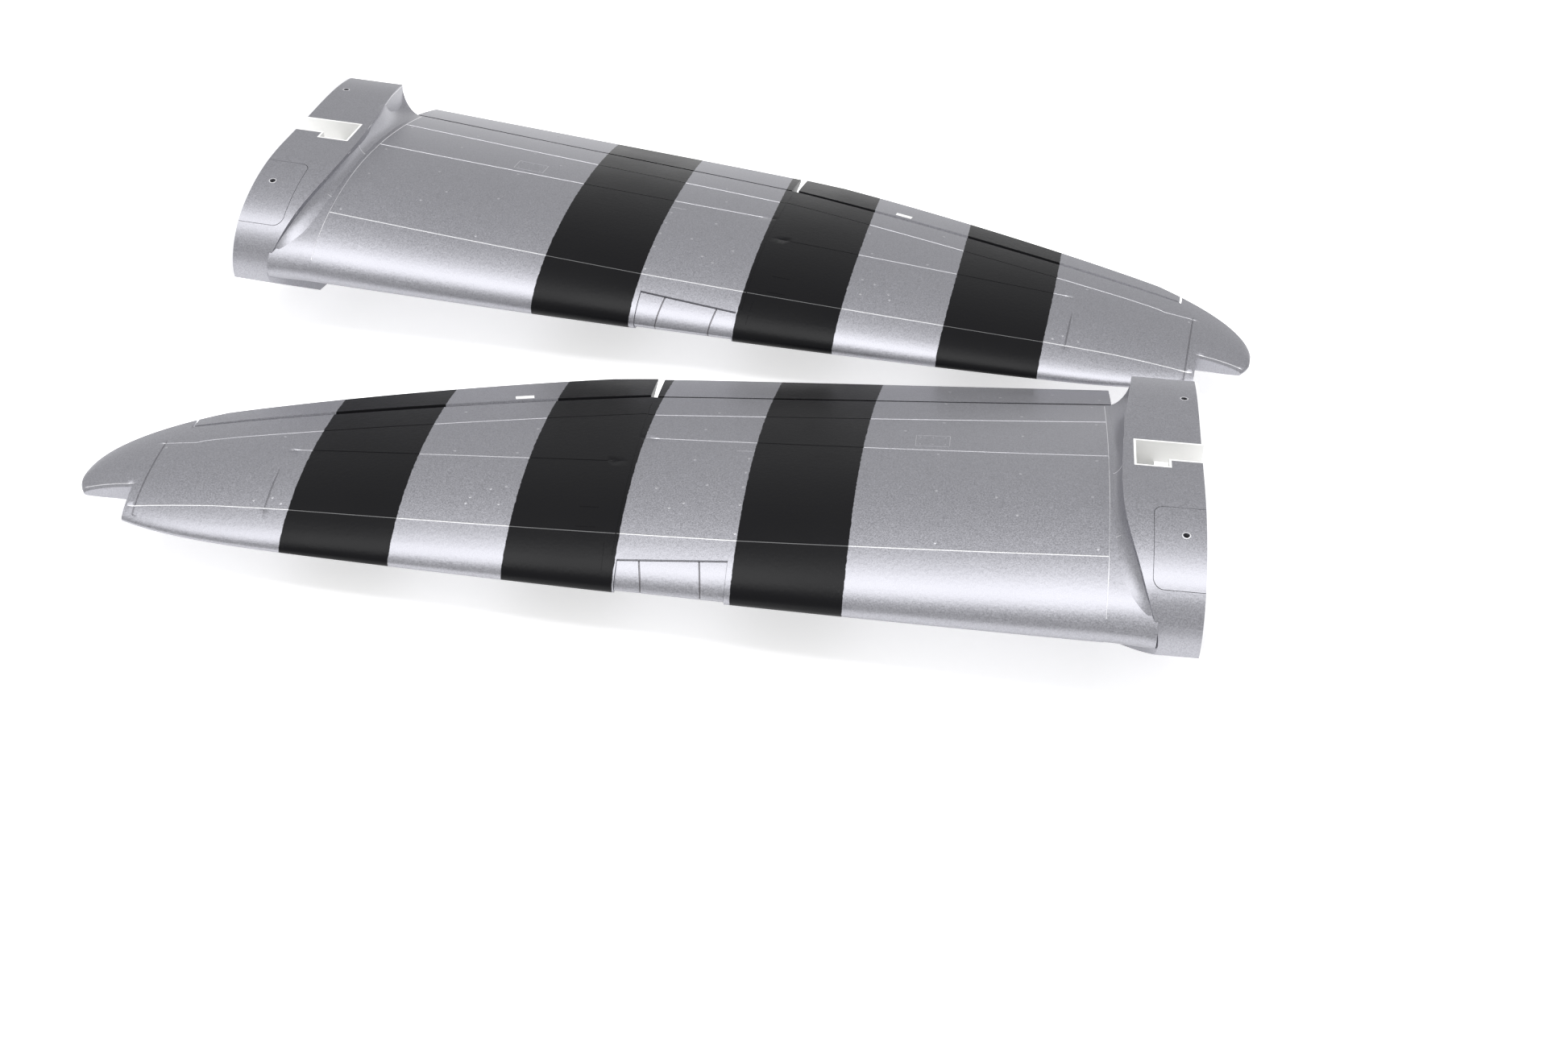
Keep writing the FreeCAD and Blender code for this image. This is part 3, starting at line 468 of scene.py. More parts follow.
def dot_mesh(spots, size):
    """Domes on the skin: rings of points at growing radius, lifted by a quarter wave."""
    spots = np.asarray(spots, float)
    turn_by = np.linspace(0.0, 2.0 * math.pi, DOT_SIDES, endpoint=False)
    rings = ((1.0, -DOT_SINK), (0.92, 0.35 * DOT_HIGH), (0.55, 0.9 * DOT_HIGH))
    blocks = []
    for share, lift in rings:
        s = spots[:, 0:1] + size * share * np.cos(turn_by)
        c = spots[:, 1:2] + size * share * np.sin(turn_by)
        blocks.append(np.stack([s, c, skin(s, c)[0] + lift], -1))
    points = np.stack(blocks, 1)
    count = len(spots)
    base = np.arange(count)[:, None] * len(rings) * DOT_SIDES
    k = np.arange(DOT_SIDES)
    following = (k + 1) % DOT_SIDES
    faces = []
    for ring in range(len(rings) - 1):
        low_ring, high_ring = base + ring * DOT_SIDES, base + (ring + 1) * DOT_SIDES
        quads = np.stack([low_ring + k, low_ring + following, high_ring + following, high_ring + k], -1)
        faces += quads.reshape(-1, 4).tolist()
    faces += (base + k[::-1]).tolist()
    faces += (base + (len(rings) - 1) * DOT_SIDES + k).tolist()
    return points.reshape(-1, 3), faces


def spots_on(patch, start, end):
    """The dots that lie on a patch of skin, over a range of span."""
    picked = []
    for s, c in DOTS:
        front, back = (float(edge) for edge in patch(np.float64(s)))
        if start < s < end and front < c < back:
            picked.append((s, c))
    return picked


marks_made = []
for hand in HANDS:
    for name, body, spots, size in (
            ("fasteners", "panel", spots_on(fixed_skin, FILLET_SPAN, LAST), DOT_ROUND),
            ("plate_fasteners", "panel", PLATE_DOTS, PLATE_DOT_ROUND),
            ("flap_fasteners", "flap", spots_on(flap_skin, 60.0, 374.0), DOT_ROUND)):
        points, faces = dot_mesh(spots, size)
        piece = mesh_object(f"{hand}_{name}", hand, body, points, faces, np.full(len(points), DOT_HIGHLIGHT))
        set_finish(piece, "painted_foam")
        marks_made.append(piece)
print("dots", sum(len(o.data.polygons) for o in marks_made) // (2 * DOT_SIDES + 2))

# %% [markdown]
# Ribs follow a path in plan. Their stations are spread along its length, and the direction at each
# station gives the way across.

# %% Ribs
# the ribs carry a value of 'line' above zero, a painted highlight on them in the silver
RIB_WIDE, RIB_HIGH, RIB_SINK, RIB_HIGHLIGHT = 0.55, 0.16, 0.12, 0.4
FOOT_SHARE, TOP_SHARE = 0.5, 0.3     # half widths of a strip's foot and top, as shares of its width


def strip_section(sink, high):
    """The four corners of a raised strip: (share of its width, lift), feet sunk and top raised."""
    return (-FOOT_SHARE, -sink), (-TOP_SHARE, high), (TOP_SHARE, high), (FOOT_SHARE, -sink)


def rib(path, height_of, wide=RIB_WIDE, high=RIB_HIGH, steps=24):
    """A strip along a plan path, with its section at every station. height_of gives the surface's
    height, so the strip bends with it."""
    path = np.asarray(path, float)
    away = np.concatenate([[0.0], np.cumsum(np.hypot(*np.diff(path, axis=0).T))])
    at = np.unique(np.concatenate([away, np.linspace(0.0, away[-1], steps)]))
    line = np.stack([np.interp(at, away, path[:, 0]), np.interp(at, away, path[:, 1])], -1)
    along = np.gradient(line, axis=0)
    along /= np.linalg.norm(along, axis=1, keepdims=True)
    across = np.stack([-along[:, 1], along[:, 0]], -1)
    corners = []
    for off, lift in strip_section(RIB_SINK, high):
        spot = line + across * off * wide
        corners.append(np.concatenate([spot, (height_of(spot[:, 0], spot[:, 1]) + lift)[:, None]], 1))
    points = np.stack(corners, 1)
    n = len(points)
    first = (np.arange(n - 1) * 4)[:, None]
    k = np.arange(4)
    quads = np.stack([first + k, first + (k + 1) % 4, first + 4 + (k + 1) % 4, first + 4 + k], -1)
    ends = [[3, 2, 1, 0], [4 * n - 4, 4 * n - 3, 4 * n - 2, 4 * n - 1]]
    return points.reshape(-1, 3), quads.reshape(-1, 4).tolist() + ends


def joined(strips):
    """Several strips as one set of points and faces."""
    points, faces, start = [], [], 0
    for p, f in strips:
        points.append(p)
        faces += [[v + start for v in face] for face in f]
        start += len(p)
    return np.concatenate(points), faces


def top_of_skin(span, chord):
    """Height of the upper skin."""
    return skin(span, chord)[0]


PLATE = ((168.0, 156.0), (191.0, 156.0), (191.0, 173.0), (168.0, 173.0), (168.0, 156.0))
SKIN_RIBS = (PLATE, ((298.0, 140.0), (310.0, 140.0)), ((384.0, 20.0), (385.0, 40.0)),
             ((393.0, 52.0), (406.0, 52.4)), ((393.0, 70.0), (406.0, 70.4)),
             ((SPLIT, 30.0), (SPLIT, 214.0)), ((298.5, 35.0), (298.5, 41.0)))
for hand in HANDS:
    points, faces = joined([rib(path, top_of_skin, steps=30) for path in SKIN_RIBS])
    piece = mesh_object(f"{hand}_skin_ribs", hand, "panel", points, faces,
                        np.full(len(points), RIB_HIGHLIGHT))
    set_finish(piece, "painted_foam")
    marks_made.append(piece)
print("skin ribs", len(marks_made[-1].data.polygons))

# %% [markdown]
# ## Seams of the root fairing
# The block's crown ends in a rough seam where the fairing starts, and two moulding lines cross the
# fairing from the crown to the wing. The fairing is a concave quarter ellipse at each chord, so a
# line across it is drawn by the angle, and the seam by the chord.

# %% Fairing lines
BLOCK_TOP = ((-13.4, 32.0), (-8.5, 47.0), (5.0, 61.0), (25.0, 70.0), (44.0, 74.2), (70.0, 76.0),
             (118.0, 72.0), (153.0, 68.0), (215.0, 60.5), (250.0, 51.7))
BLOCK_SIDE = ((26.0, -16.0), (34.0, -6.0), (43.0, 17.0), (52.5, 57.0), (55.0, 100.0), (53.5, 150.0),
              (50.0, 200.0), (45.8, 250.0))
FAIRING_LINES = (51.0, 122.0)
# the seam and the fairing lines carry a high value of 'line', a painted highlight on the paint
SEAM_ANGLE, SEAM_LIFT, SEAM_ROUND, LINE_ROUND, FOOT_SINK, SEAM_HIGHLIGHT = 0.03, 0.05, 0.42, 0.30, 0.12, 0.8
SEAM_STEPS, ARC_STEPS, ARC_FROM = 120, 30, 0.05
SIDE_INSET, CROWN_SINK, SKIN_SINK = 0.3, 0.2, 0.6     # the curve's ends lie this far inside


def crown(chord):
    """Height of the block's crown."""
    return np.interp(chord, *zip(*BLOCK_TOP))


def block_side(chord):
    """Span of the block's bowed side."""
    span_of, chord_of = zip(*BLOCK_SIDE)
    return np.interp(chord, chord_of, span_of)


def fairing(chord, angle):
    """Point of the concave quarter ellipse, from the crown (0) to the wing skin (a right angle)."""
    inner, top = block_side(chord) - SIDE_INSET, crown(chord) - CROWN_SINK
    on_wing = np.maximum(chord, nose(np.float64(FILLET_SPAN)) + 1.0)
    foot = skin(FILLET_SPAN, on_wing)[0] - SKIN_SINK
    reach, fall = FILLET_SPAN - inner, top - foot
    return np.stack([FILLET_SPAN - reach * np.cos(angle), chord + 0.0 * angle,
                     top - fall * np.sin(angle)], -1)


def tube(line, round_by, sides=6):
    """A thin bead along points in space: a small polygon at each station, closed at both ends."""
    along = np.gradient(line, axis=0)
    along /= np.linalg.norm(along, axis=1, keepdims=True)
    out = np.cross(along, [0.0, 0.0, 1.0])
    bad = np.linalg.norm(out, axis=1) < 1e-6
    out[bad] = [1.0, 0.0, 0.0]
    out /= np.linalg.norm(out, axis=1, keepdims=True)
    up = np.cross(out, along)
    turn_by = np.linspace(0.0, 2.0 * math.pi, sides, endpoint=False)
    turned = np.cos(turn_by)[:, None] * out[:, None] + np.sin(turn_by)[:, None] * up[:, None]
    points = line[:, None] + round_by * turned
    n, k = len(line), np.arange(sides)
    first = (np.arange(n - 1) * sides)[:, None]
    around = (k + 1) % sides
    quads = np.stack([first + k, first + around, first + sides + around, first + sides + k], -1)
    ends = [k[::-1].tolist(), (k + (n - 1) * sides).tolist()]
    return points.reshape(-1, 3), quads.reshape(-1, 4).tolist() + ends


for hand in HANDS:
    seam = fairing(np.linspace(-4.0, 248.0, SEAM_STEPS), np.full(SEAM_STEPS, SEAM_ANGLE))
    seam[:, 2] += SEAM_LIFT
    arcs = [fairing(np.full(ARC_STEPS, at), np.linspace(ARC_FROM, 0.5 * math.pi, ARC_STEPS))
            for at in FAIRING_LINES]
    foot_chord = np.linspace(-8.0, 246.0, SEAM_STEPS)
    foot_up = skin(FILLET_SPAN, foot_chord)[0] - FOOT_SINK
    foot = np.stack([np.full(SEAM_STEPS, FILLET_SPAN), foot_chord, foot_up], -1)
    for name, lines, round_by in (("fairing_seam", [seam], SEAM_ROUND),
                                  ("fairing_lines", arcs + [foot], LINE_ROUND)):
        points, faces = joined([tube(line, round_by) for line in lines])
        piece = mesh_object(f"{hand}_{name}", hand, "panel", points, faces,
                            np.full(len(points), SEAM_HIGHLIGHT))
        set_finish(piece, "painted_foam")
        marks_made.append(piece)
print("fairing lines", len(marks_made[-1].data.polygons))

# %% [markdown]
# ## Rims of the bolt holes
# Each bolt hole has a narrow raised rim. It is a strip's section carried round a circle, so it
# closes on itself and needs no ends.

# %% Rims of the bolt holes
BOLT_SPOTS = ((15.0, 44.5), (11.0, 215.0))
# the rims carry a high value of 'line', a painted highlight round each bolt hole
RIM_ROUND, RIM_WIDE, RIM_HIGH, RIM_SINK, RIM_HIGHLIGHT = 2.55, 0.9, 0.3, 0.4, 0.9


def rim(spot, sides=40):
    """A raised ring on the crown: a strip's section, turned about the hole's middle."""
    turn_by = np.linspace(0.0, 2.0 * math.pi, sides, endpoint=False)
    corners = []
    for off, lift in strip_section(RIM_SINK, RIM_HIGH):
        s = spot[0] + (RIM_ROUND + off * RIM_WIDE) * np.cos(turn_by)
        c = spot[1] + (RIM_ROUND + off * RIM_WIDE) * np.sin(turn_by)
        corners.append(np.stack([s, c, crown(c) + lift], -1))
    i, k = np.meshgrid(np.arange(sides), np.arange(4), indexing="ij")
    onward, around = (i + 1) % sides * 4, (k + 1) % 4
    quads = np.stack([i * 4 + k, i * 4 + around, onward + around, onward + k], -1)
    return np.stack(corners, 1).reshape(-1, 3), quads.reshape(-1, 4).tolist()


for hand in HANDS:
    points, faces = joined([rim(spot) for spot in BOLT_SPOTS])
    piece = mesh_object(f"{hand}_bolt_rims", hand, "panel", points, faces,
                        np.full(len(points), RIM_HIGHLIGHT))
    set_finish(piece, "painted_foam")
    marks_made.append(piece)
print("bolt rims", len(marks_made[-1].data.polygons))

# %% [markdown]
# ## Shared effects as node groups
# Painting works in panel directions too: a Mapping node turns Object coordinates into span, chord
# and height, so the black bands run straight on from the skin to the aileron and the flap. Three
# effects are shared by several finishes, so each is a node group: the bands, the fine metallic
# speckle of the paint, and handling marks.

# %% Node helpers
def feed(tree, made, inputs):
    """A node's inputs, each wired where a socket is given and set where a value is."""
    for key, value in inputs.items():
        if isinstance(value, bpy.types.NodeSocket):
            tree.links.new(value, made.inputs[key])
        else:
            made.inputs[key].default_value = value


def add(tree, kind, inputs=None, **settings):
    """A shader node with its settings made and its inputs fed."""
    made = tree.nodes.new("ShaderNode" + kind)
    for key, value in settings.items():
        setattr(made, key, value)
    feed(tree, made, inputs or {})
    return made


def sum_of(tree, kind, a, b):
    """One Math node's result."""
    made = add(tree, "Math", {0: a, 1: b}, operation=kind)
    return made.outputs[0]


def group(name, takes, gives):
    """An empty node group with named sockets: takes and gives are {name: (type, start value)}."""
    tree = bpy.data.node_groups.new(name, "ShaderNodeTree")
    for side_word, table in (("INPUT", takes), ("OUTPUT", gives)):
        for key, (kind, start) in table.items():
            socket = tree.interface.new_socket(name=key, in_out=side_word,
                                               socket_type="NodeSocket" + kind)
            if start is not None:
                socket.default_value = start
    return tree, tree.nodes.new("NodeGroupInput").outputs, tree.nodes.new("NodeGroupOutput").inputs


def place_group(tree, inner, inputs):
    """The outputs of a node group that is set in a tree, with its inputs fed."""
    made = tree.nodes.new("ShaderNodeGroup")
    made.node_tree = inner
    feed(tree, made, inputs)
    return made.outputs


print("node helpers ready")

# %% [markdown]
# The bands are straight over the first 60 mm of chord. Behind that they curve towards the root
# with the square of the chord. A little noise roughens their masked edges.

# %% Bands
BANDS = ((227.0, 299.3), (376.0, 449.3), (525.0, 599.0))
BEND_FROM, BEND = 60.0, 0.1625
BAND_SOFT, BAND_RAGGED = 0.22, 0.0012


def band_group():
    """Mask of the black bands: one where the span, bent by the square of the chord behind the nose
    stretch, lies within half a band's width of its middle."""
    tree, takes, gives = group("bands", {"Panel": ("Vector", None)}, {"Mask": ("Float", 0.0)})
    parts = add(tree, "SeparateXYZ", {0: takes["Panel"]}).outputs
    ragged = add(tree, "TexNoise", {"Vector": takes["Panel"], "Scale": 260.0, "Detail": 3.0}).outputs[0]
    behind = sum_of(tree, "MAXIMUM", sum_of(tree, "SUBTRACT", parts[1], BEND_FROM * MM), 0.0)
    squared = sum_of(tree, "MULTIPLY", behind, behind)
    bent = sum_of(tree, "ADD", parts[0], sum_of(tree, "MULTIPLY", squared, BEND))
    wander = sum_of(tree, "MULTIPLY", sum_of(tree, "SUBTRACT", ragged, 0.5), BAND_RAGGED)
    bent = sum_of(tree, "ADD", bent, wander)
    mask = None
    for start, end in BANDS:
        off = sum_of(tree, "ABSOLUTE", sum_of(tree, "SUBTRACT", bent, 0.5 * (start + end) * MM), 0.0)
        half = 0.5 * (end - start) * MM
        one = add(tree, "MapRange", {"Value": off, "From Min": half + BAND_SOFT * MM,
                                     "From Max": half - BAND_SOFT * MM})
        mask = one.outputs[0] if mask is None else sum_of(tree, "MAXIMUM", mask, one.outputs[0])
    tree.links.new(mask, gives["Mask"])
    return tree


bands = band_group()
print("bands", len(bands.nodes), "nodes")

# %% [markdown]
# Speckle and handling marks give amounts only, so that each finish decides what they do to its
# colour, its roughness or its bump.

# %% Speckle and handling
def speckle_group():
    """Metallic speckle: fine noise for the flakes over a faint pattern of foam beads."""
    tree, takes, gives = group("speckle", {"Panel": ("Vector", None), "Flake Scale": ("Float", 1100.0)},
                               {"Flakes": ("Float", 0.5), "Beads": ("Float", 0.0)})
    flakes = add(tree, "TexNoise", {"Vector": takes["Panel"], "Scale": takes["Flake Scale"],
                                    "Detail": 1.5, "Roughness": 0.7}).outputs[0]
    beads = add(tree, "TexVoronoi", {"Vector": takes["Panel"], "Scale": 330.0},
                feature="F1").outputs["Distance"]
    tree.links.new(flakes, gives["Flakes"])
    tree.links.new(beads, gives["Beads"])
    return tree


def handling_group():
    """Handling marks: broad soft smudges, and small scuffs where two noises are both high."""
    tree, takes, gives = group("handling", {"Panel": ("Vector", None), "Size": ("Float", 14.0)},
                               {"Smudge": ("Float", 0.0), "Scuff": ("Float", 0.0)})
    broad = add(tree, "TexNoise", {"Vector": takes["Panel"], "Scale": takes["Size"],
                                   "Detail": 4.0}).outputs[0]
    fine = add(tree, "TexNoise", {"Vector": takes["Panel"], "Scale": 420.0, "Detail": 5.0,
                                  "Roughness": 0.8}).outputs[0]
    smudge = add(tree, "MapRange", {"Value": broad, "From Min": 0.35, "From Max": 0.75}).outputs[0]
    both = sum_of(tree, "MULTIPLY", fine, broad)
    scuff = add(tree, "MapRange", {"Value": both, "From Min": 0.36, "From Max": 0.42})
    tree.links.new(smudge, gives["Smudge"])
    tree.links.new(scuff.outputs[0], gives["Scuff"])
    return tree


speckle, handling = speckle_group(), handling_group()
print("speckle and handling ready")

# %% [markdown]
# ## Silver paint with black bands
# Silver model paint is a metallic base full of flakes, so it is a fairly rough metal whose colour
# and roughness flicker with the speckle. The bands are satin black with no metal in them. Grooves
# and raised marks carry the attribute 'line': above zero it brightens the silver with a painted
# highlight along them, and below zero it darkens it, like dirt in a joint. Over the black only lines
# above 0.7 show, lightened as a painted highlight.

# %% Paint
SILVER, SILVER_DARK = (0.42, 0.42, 0.455, 1), (0.29, 0.29, 0.315, 1)
# colour of the painted highlight along lines and marks on the silver
SILVER_HIGHLIGHT = (0.90, 0.90, 0.92, 1)
BLACK, BLACK_WORN = (0.0036, 0.0036, 0.0046, 1), (0.018, 0.018, 0.019, 1)
# colour of the painted highlight along the strongest lines on the black
BLACK_HIGHLIGHT = (0.20, 0.20, 0.205, 1)
GROOVE_DARK = (0.10, 0.095, 0.10, 1)
PAINT_GLOSS, METAL_SHARE = 0.15, 0.86


def shader_of(material):
    """The material's Principled node."""
    return material.node_tree.nodes["Principled BSDF"]


def new_material(name):
    """A material with its tree and its Principled node."""
    made = bpy.data.materials.new(name)
    made.use_nodes = True
    return made, made.node_tree, shader_of(made)


def panel_vector(tree, hand):
    """Object coordinates turned into (span, chord, height), in metres."""
    where = add(tree, "TexCoord").outputs["Object"]
    if hand == "right":
        return add(tree, "Mapping", {"Vector": where, "Scale": (-1.0, 1.0, 1.0),
                                     "Location": (0.0, SPAR_CHORD * MM, SPAR_UP * MM)}).outputs[0]
    x, y = LEFT_PLACE[0] * MM, (LEFT_PLACE[1] - SPAR_CHORD) * MM
    back = (-(x * math.cos(LEFT_YAW) + y * math.sin(LEFT_YAW)),
            x * math.sin(LEFT_YAW) - y * math.cos(LEFT_YAW))
    return add(tree, "Mapping", {"Vector": where, "Rotation": (0.0, 0.0, -LEFT_YAW),
                                 "Location": (back[0], back[1], SPAR_UP * MM)}).outputs[0]


def mix_colour(tree, share, a, b):
    """A colour between a and b."""
    return add(tree, "Mix", {0: share, 6: a, 7: b}, data_type="RGBA").outputs[2]


def spread(tree, value, low_end, high_end, start=0.0, end=1.0):
    """A value moved from one range to another."""
    made = add(tree, "MapRange", {"Value": value, "From Min": start, "From Max": end,
                                  "To Min": low_end, "To Max": high_end})
    return made.outputs[0]


def paint_material(hand):
    """Silver flake paint, banded in satin black."""
    made, tree, shader = new_material(f"silver_paint_{hand}")
    panel = panel_vector(tree, hand)
    mask = place_group(tree, bands, {"Panel": panel})["Mask"]
    grain = place_group(tree, speckle, {"Panel": panel})
    marks = place_group(tree, handling, {"Panel": panel})
    line = add(tree, "Attribute", attribute_name="line").outputs["Fac"]
    silver = mix_colour(tree, spread(tree, grain["Flakes"], 0.0, 1.0, 0.32, 0.68), SILVER_DARK, SILVER)
    silver = mix_colour(tree, spread(tree, marks["Smudge"], 0.0, 0.16), silver, SILVER_DARK)
    # painted highlight: lines above zero brighten the silver
    silver = mix_colour(tree, spread(tree, line, 0.0, 1.0), silver, SILVER_HIGHLIGHT)
    silver = mix_colour(tree, spread(tree, line, 0.0, 0.9, 0.0, -1.0), silver, GROOVE_DARK)
    black = mix_colour(tree, spread(tree, marks["Scuff"], 0.0, 0.35), BLACK, BLACK_WORN)
    # painted highlight: lines above 0.7 lighten the black
    black = mix_colour(tree, spread(tree, line, 0.0, 0.8, 0.7, 1.0), black, BLACK_HIGHLIGHT)
    tree.links.new(mix_colour(tree, mask, silver, black), shader.inputs["Base Color"])
    metal = sum_of(tree, "MULTIPLY", sum_of(tree, "SUBTRACT", 1.0, mask), METAL_SHARE)
    tree.links.new(metal, shader.inputs["Metallic"])
    silver_rough = spread(tree, grain["Flakes"], 0.36, 0.52, 0.3, 0.7)
    black_rough = spread(tree, marks["Smudge"], 0.34, 0.42)
    rough = add(tree, "Mix", {0: mask, 2: silver_rough, 3: black_rough}, data_type="FLOAT").outputs[0]
    tree.links.new(rough, shader.inputs["Roughness"])
    height = sum_of(tree, "ADD", sum_of(tree, "MULTIPLY", grain["Flakes"], 0.55),
                    sum_of(tree, "MULTIPLY", grain["Beads"], 0.5))
    bump = add(tree, "Bump", {"Height": height, "Strength": 0.32, "Distance": 0.00025})
    tree.links.new(bump.outputs[0], shader.inputs["Normal"])
    shader.inputs["Specular IOR Level"].default_value = PAINT_GLOSS
    return made


paints = {hand: paint_material(hand) for hand in HANDS}
print("paint", [len(m.node_tree.nodes) for m in paints.values()])

# %% [markdown]
# ## Bare foam, plastics and metals
# The smaller pieces need four kinds of finish: pale moulded foam or plastic with a soft grain and a
# little grime, woven carbon for the spar tube, dark moulded cases, and metal with fine turning
# lines. Each takes its base colour from the frame's own record.

# %% Moulded and metal finishes
FINISH = {m["slot"]: tuple(m["base_color"][:3]) for m in frame["record"]["materials"]}


def shade_of(colour, times):
    """A colour made lighter or darker, kept below one."""
    return tuple(min(1.0, c * times) for c in colour) + (1.0,)


def moulded(slot, grain_scale, rough, grime, tint=0.82):
    """A moulded finish: the slot's colour with grime in broad patches, and a fine grain in the bump."""
    made, tree, shader = new_material(slot)
    where = add(tree, "TexCoord").outputs["Object"]
    marks = place_group(tree, handling, {"Panel": where, "Size": 30.0})
    grain = place_group(tree, speckle, {"Panel": where, "Flake Scale": grain_scale})
    colour = mix_colour(tree, spread(tree, marks["Smudge"], 0.0, grime),
                        shade_of(FINISH[slot], 1.0), shade_of(FINISH[slot], tint))
    tree.links.new(colour, shader.inputs["Base Color"])
    tree.links.new(spread(tree, grain["Flakes"], rough - 0.06, rough + 0.06), shader.inputs["Roughness"])
    bump = add(tree, "Bump", {"Height": grain["Flakes"], "Strength": 0.22, "Distance": 0.0002})
    tree.links.new(bump.outputs[0], shader.inputs["Normal"])
    return made


def woven(slot):
    """Carbon tube: two wave patterns crossed as a twill, seen in its gloss and colour."""
    made, tree, shader = new_material(slot)
    where = add(tree, "TexCoord").outputs["Object"]
    twill = [add(tree, "TexWave", {"Vector": where, "Scale": 260.0, "Distortion": 0.4},
                 bands_direction=way).outputs["Fac"] for way in ("DIAGONAL", "X")]
    weave = sum_of(tree, "MULTIPLY", *twill)
    colour = mix_colour(tree, weave, shade_of(FINISH[slot], 0.7), shade_of(FINISH[slot], 1.8))
    tree.links.new(colour, shader.inputs["Base Color"])
    tree.links.new(spread(tree, weave, 0.25, 0.45), shader.inputs["Roughness"])
    return made


def steel(slot, rough):
    """Steel: plain metal with fine streaks in its roughness."""
    made, tree, shader = new_material(slot)
    where = add(tree, "TexCoord").outputs["Object"]
    streaks = add(tree, "TexNoise", {"Vector": where, "Scale": 900.0, "Detail": 3.0}).outputs[0]
    colour = mix_colour(tree, spread(tree, streaks, 0.0, 1.0, 0.35, 0.65),
                        shade_of(FINISH[slot], 0.85), shade_of(FINISH[slot], 1.1))
    tree.links.new(colour, shader.inputs["Base Color"])
    tree.links.new(spread(tree, streaks, rough - 0.08, rough + 0.08), shader.inputs["Roughness"])
    shader.inputs["Metallic"].default_value = 1.0
    return made


finishes = {
    "pale_rib": moulded("pale_rib", 500.0, 0.55, 0.35),
    "bare_white": moulded("bare_white", 700.0, 0.50, 0.35, 0.74),
    "carbon_tube": woven("carbon_tube"),
    "grey_nylon": moulded("grey_nylon", 900.0, 0.42, 0.25),
    "arm_nylon": moulded("arm_nylon", 900.0, 0.38, 0.25, 1.6),
    "servo_case": moulded("servo_case", 900.0, 0.36, 0.25, 1.6),
    "steel_wire": steel("steel_wire", 0.26),
    "steel_screw": steel("steel_screw", 0.36),
}
print("finishes", sorted(finishes))

# %% [markdown]
# ## Putting the finishes on
# A frame node takes the finish of its slot. Whatever was sprayed together with the panel takes that
# hand's own paint, so the bands run on across it.

# %% Put the finishes on
slot_of = {row["node"]: row["material_slot"] for row in frame["record"]["subparts"]}
SPRAYED_SLOTS, SPRAYED_ENDS = ("painted_foam", "cover_plastic"), ("tip_light_seat", "bolt_sleeves")


def finish_for(name, slot):
    """The hand's own paint for whatever was sprayed with the panel, the slot's finish otherwise."""
    sprayed = slot in SPRAYED_SLOTS or name.endswith(SPRAYED_ENDS)
    return paints[name.split("_")[0]] if sprayed else finishes[slot]


new_pieces = list(wings.values()) + inserts + marks_made
for name, node in nodes.items():
    node.data.materials.clear()
    node.data.materials.append(finish_for(name, slot_of[name]))
for piece in new_pieces:
    piece.data.materials.clear()
    piece.data.materials.append(finish_for(piece.name, piece["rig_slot"]))
print("finished", len(nodes), "frame nodes and", len(new_pieces), "new pieces")

# %% [markdown]
# ## Studio and camera
# The floor is plain and pale, set just low enough that a lowered flap doesn't reach it. It glows,
# so that hardly any shadow is left under the panels.

# %% Floor
FLOOR_Z, FLOOR_GLOW, FLOOR_WIDE = -0.058, 0.60, 12.0
bpy.ops.mesh.primitive_plane_add(size=FLOOR_WIDE, location=(0.0, 0.0, FLOOR_Z))
floor = bpy.context.object
floor.name = "floor"
floor_paint, _, floor_shader = new_material("pale_floor")
floor_shader.inputs["Base Color"].default_value = (0.92, 0.92, 0.92, 1.0)
floor_shader.inputs["Roughness"].default_value = 0.9
floor_shader.inputs["Emission Color"].default_value = (1.0, 1.0, 1.0, 1.0)
floor_shader.inputs["Emission Strength"].default_value = FLOOR_GLOW
floor.data.materials.append(floor_paint)
print("floor at", FLOOR_Z)

# %% [markdown]
# The light is soft: an even white surround, and one wide lamp overhead that draws the bright band
# behind the noses.

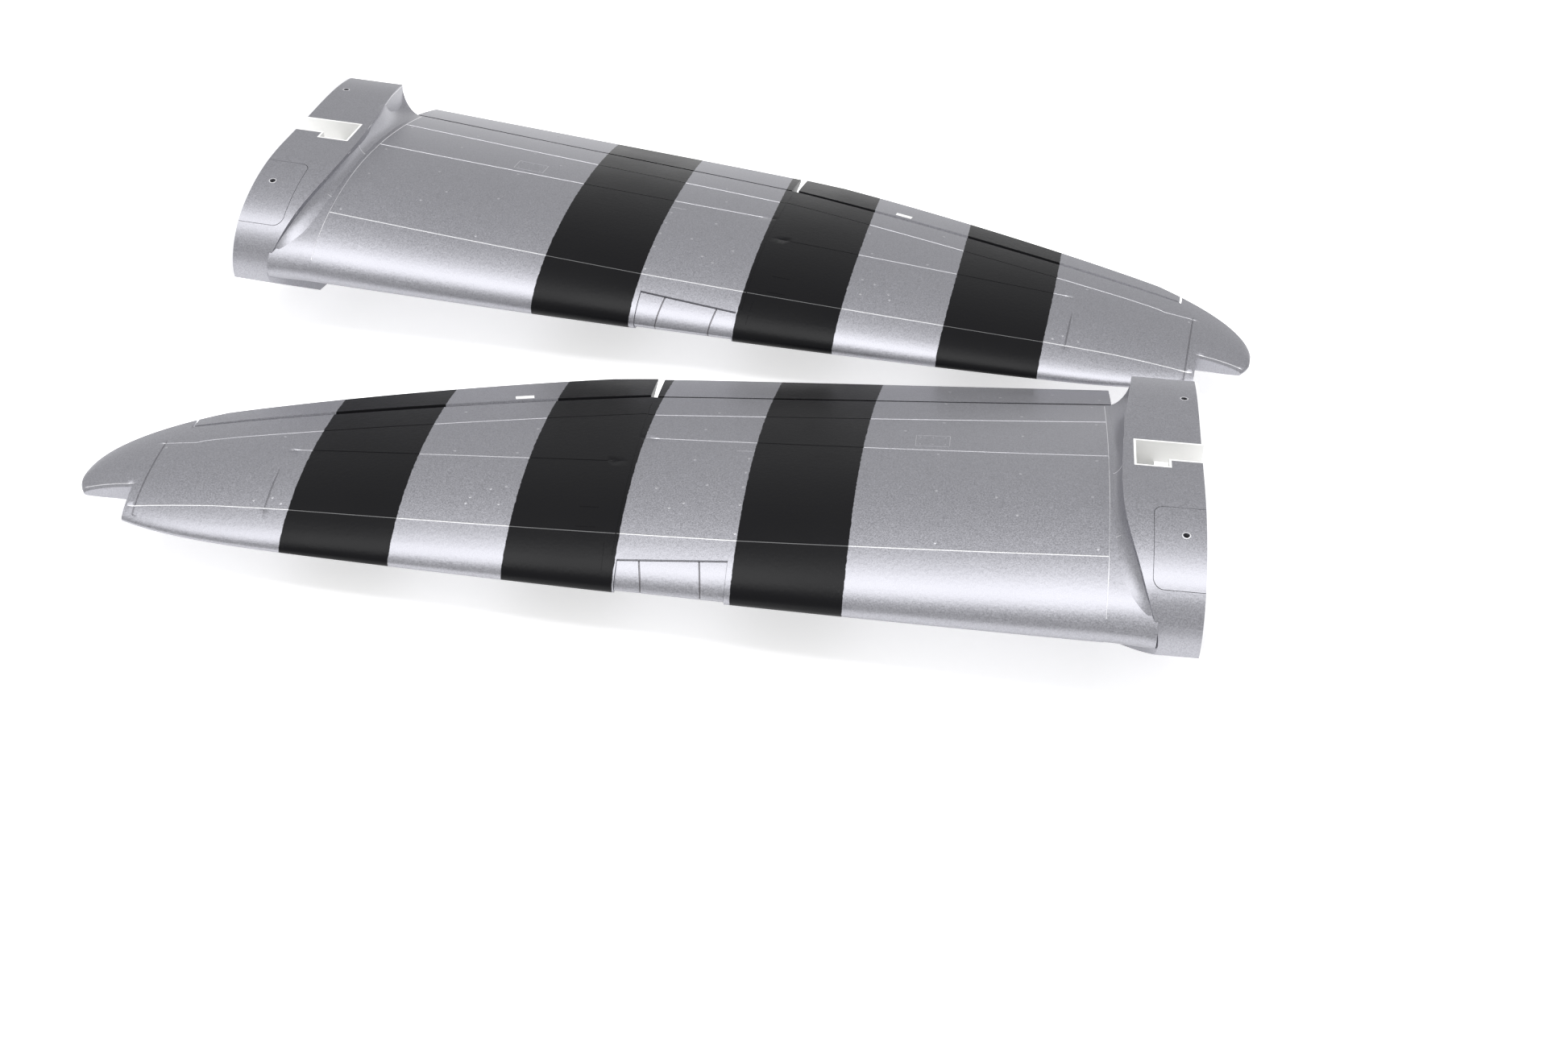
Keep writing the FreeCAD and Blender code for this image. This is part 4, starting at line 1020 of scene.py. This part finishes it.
# %% Light
SURROUND_GLOW, LAMP_POWER = 0.62, 42.0
bpy.context.scene.view_settings.view_transform = "Standard"
world = bpy.data.worlds.new("studio")
bpy.context.scene.world = world
world.use_nodes = True
surround = world.node_tree.nodes["Background"]
surround.inputs["Color"].default_value = (1.0, 1.0, 1.0, 1.0)
surround.inputs["Strength"].default_value = SURROUND_GLOW


def softbox(name, at, aim, size, power):
    """A large soft lamp at a place, turned towards another place."""
    lamp = bpy.data.lights.new(name, "AREA")
    lamp.shape = "RECTANGLE"
    lamp.size, lamp.size_y = size
    lamp.energy = power
    holder = bpy.data.objects.new(name, lamp)
    bpy.context.scene.collection.objects.link(holder)
    holder.location = at
    holder.rotation_euler = (Vector(aim) - Vector(at)).to_track_quat("-Z", "Y").to_euler()
    return holder


softbox("overhead", (-0.4, -0.1, 1.9), (-0.4, 0.2, 0.0), (3.0, 1.1), LAMP_POWER)
print("lights ready")

# %% [markdown]
# The camera looks down on the panels from their front. Its directions are built from yaw, pitch
# and roll, and its matrix has the right, up and backward directions as columns.

# %% Camera
CAMERA_AT = (-171.0, -1341.0, 1039.0)
YAW, PITCH, ROLL = (math.radians(v) for v in (-4.35, 38.04, 2.32))
SENSOR, LENS = 36.0, 59.03
ahead = Vector((math.sin(YAW) * math.cos(PITCH), math.cos(YAW) * math.cos(PITCH), -math.sin(PITCH)))
level = Vector((math.cos(YAW), -math.sin(YAW), 0.0))
overhead = level.cross(ahead)
right_way = math.cos(ROLL) * level + math.sin(ROLL) * overhead
up_way = -math.sin(ROLL) * level + math.cos(ROLL) * overhead
camera_data = bpy.data.cameras.new("camera")
camera_data.sensor_width, camera_data.lens = SENSOR, LENS
camera = bpy.data.objects.new("camera", camera_data)
bpy.context.scene.collection.objects.link(camera)
turned = Matrix((right_way, up_way, -ahead)).transposed().to_4x4()
camera.matrix_world = Matrix.Translation(Vector(CAMERA_AT) * MM) @ turned
bpy.context.scene.camera = camera
print("camera at", [round(v, 3) for v in camera.location])
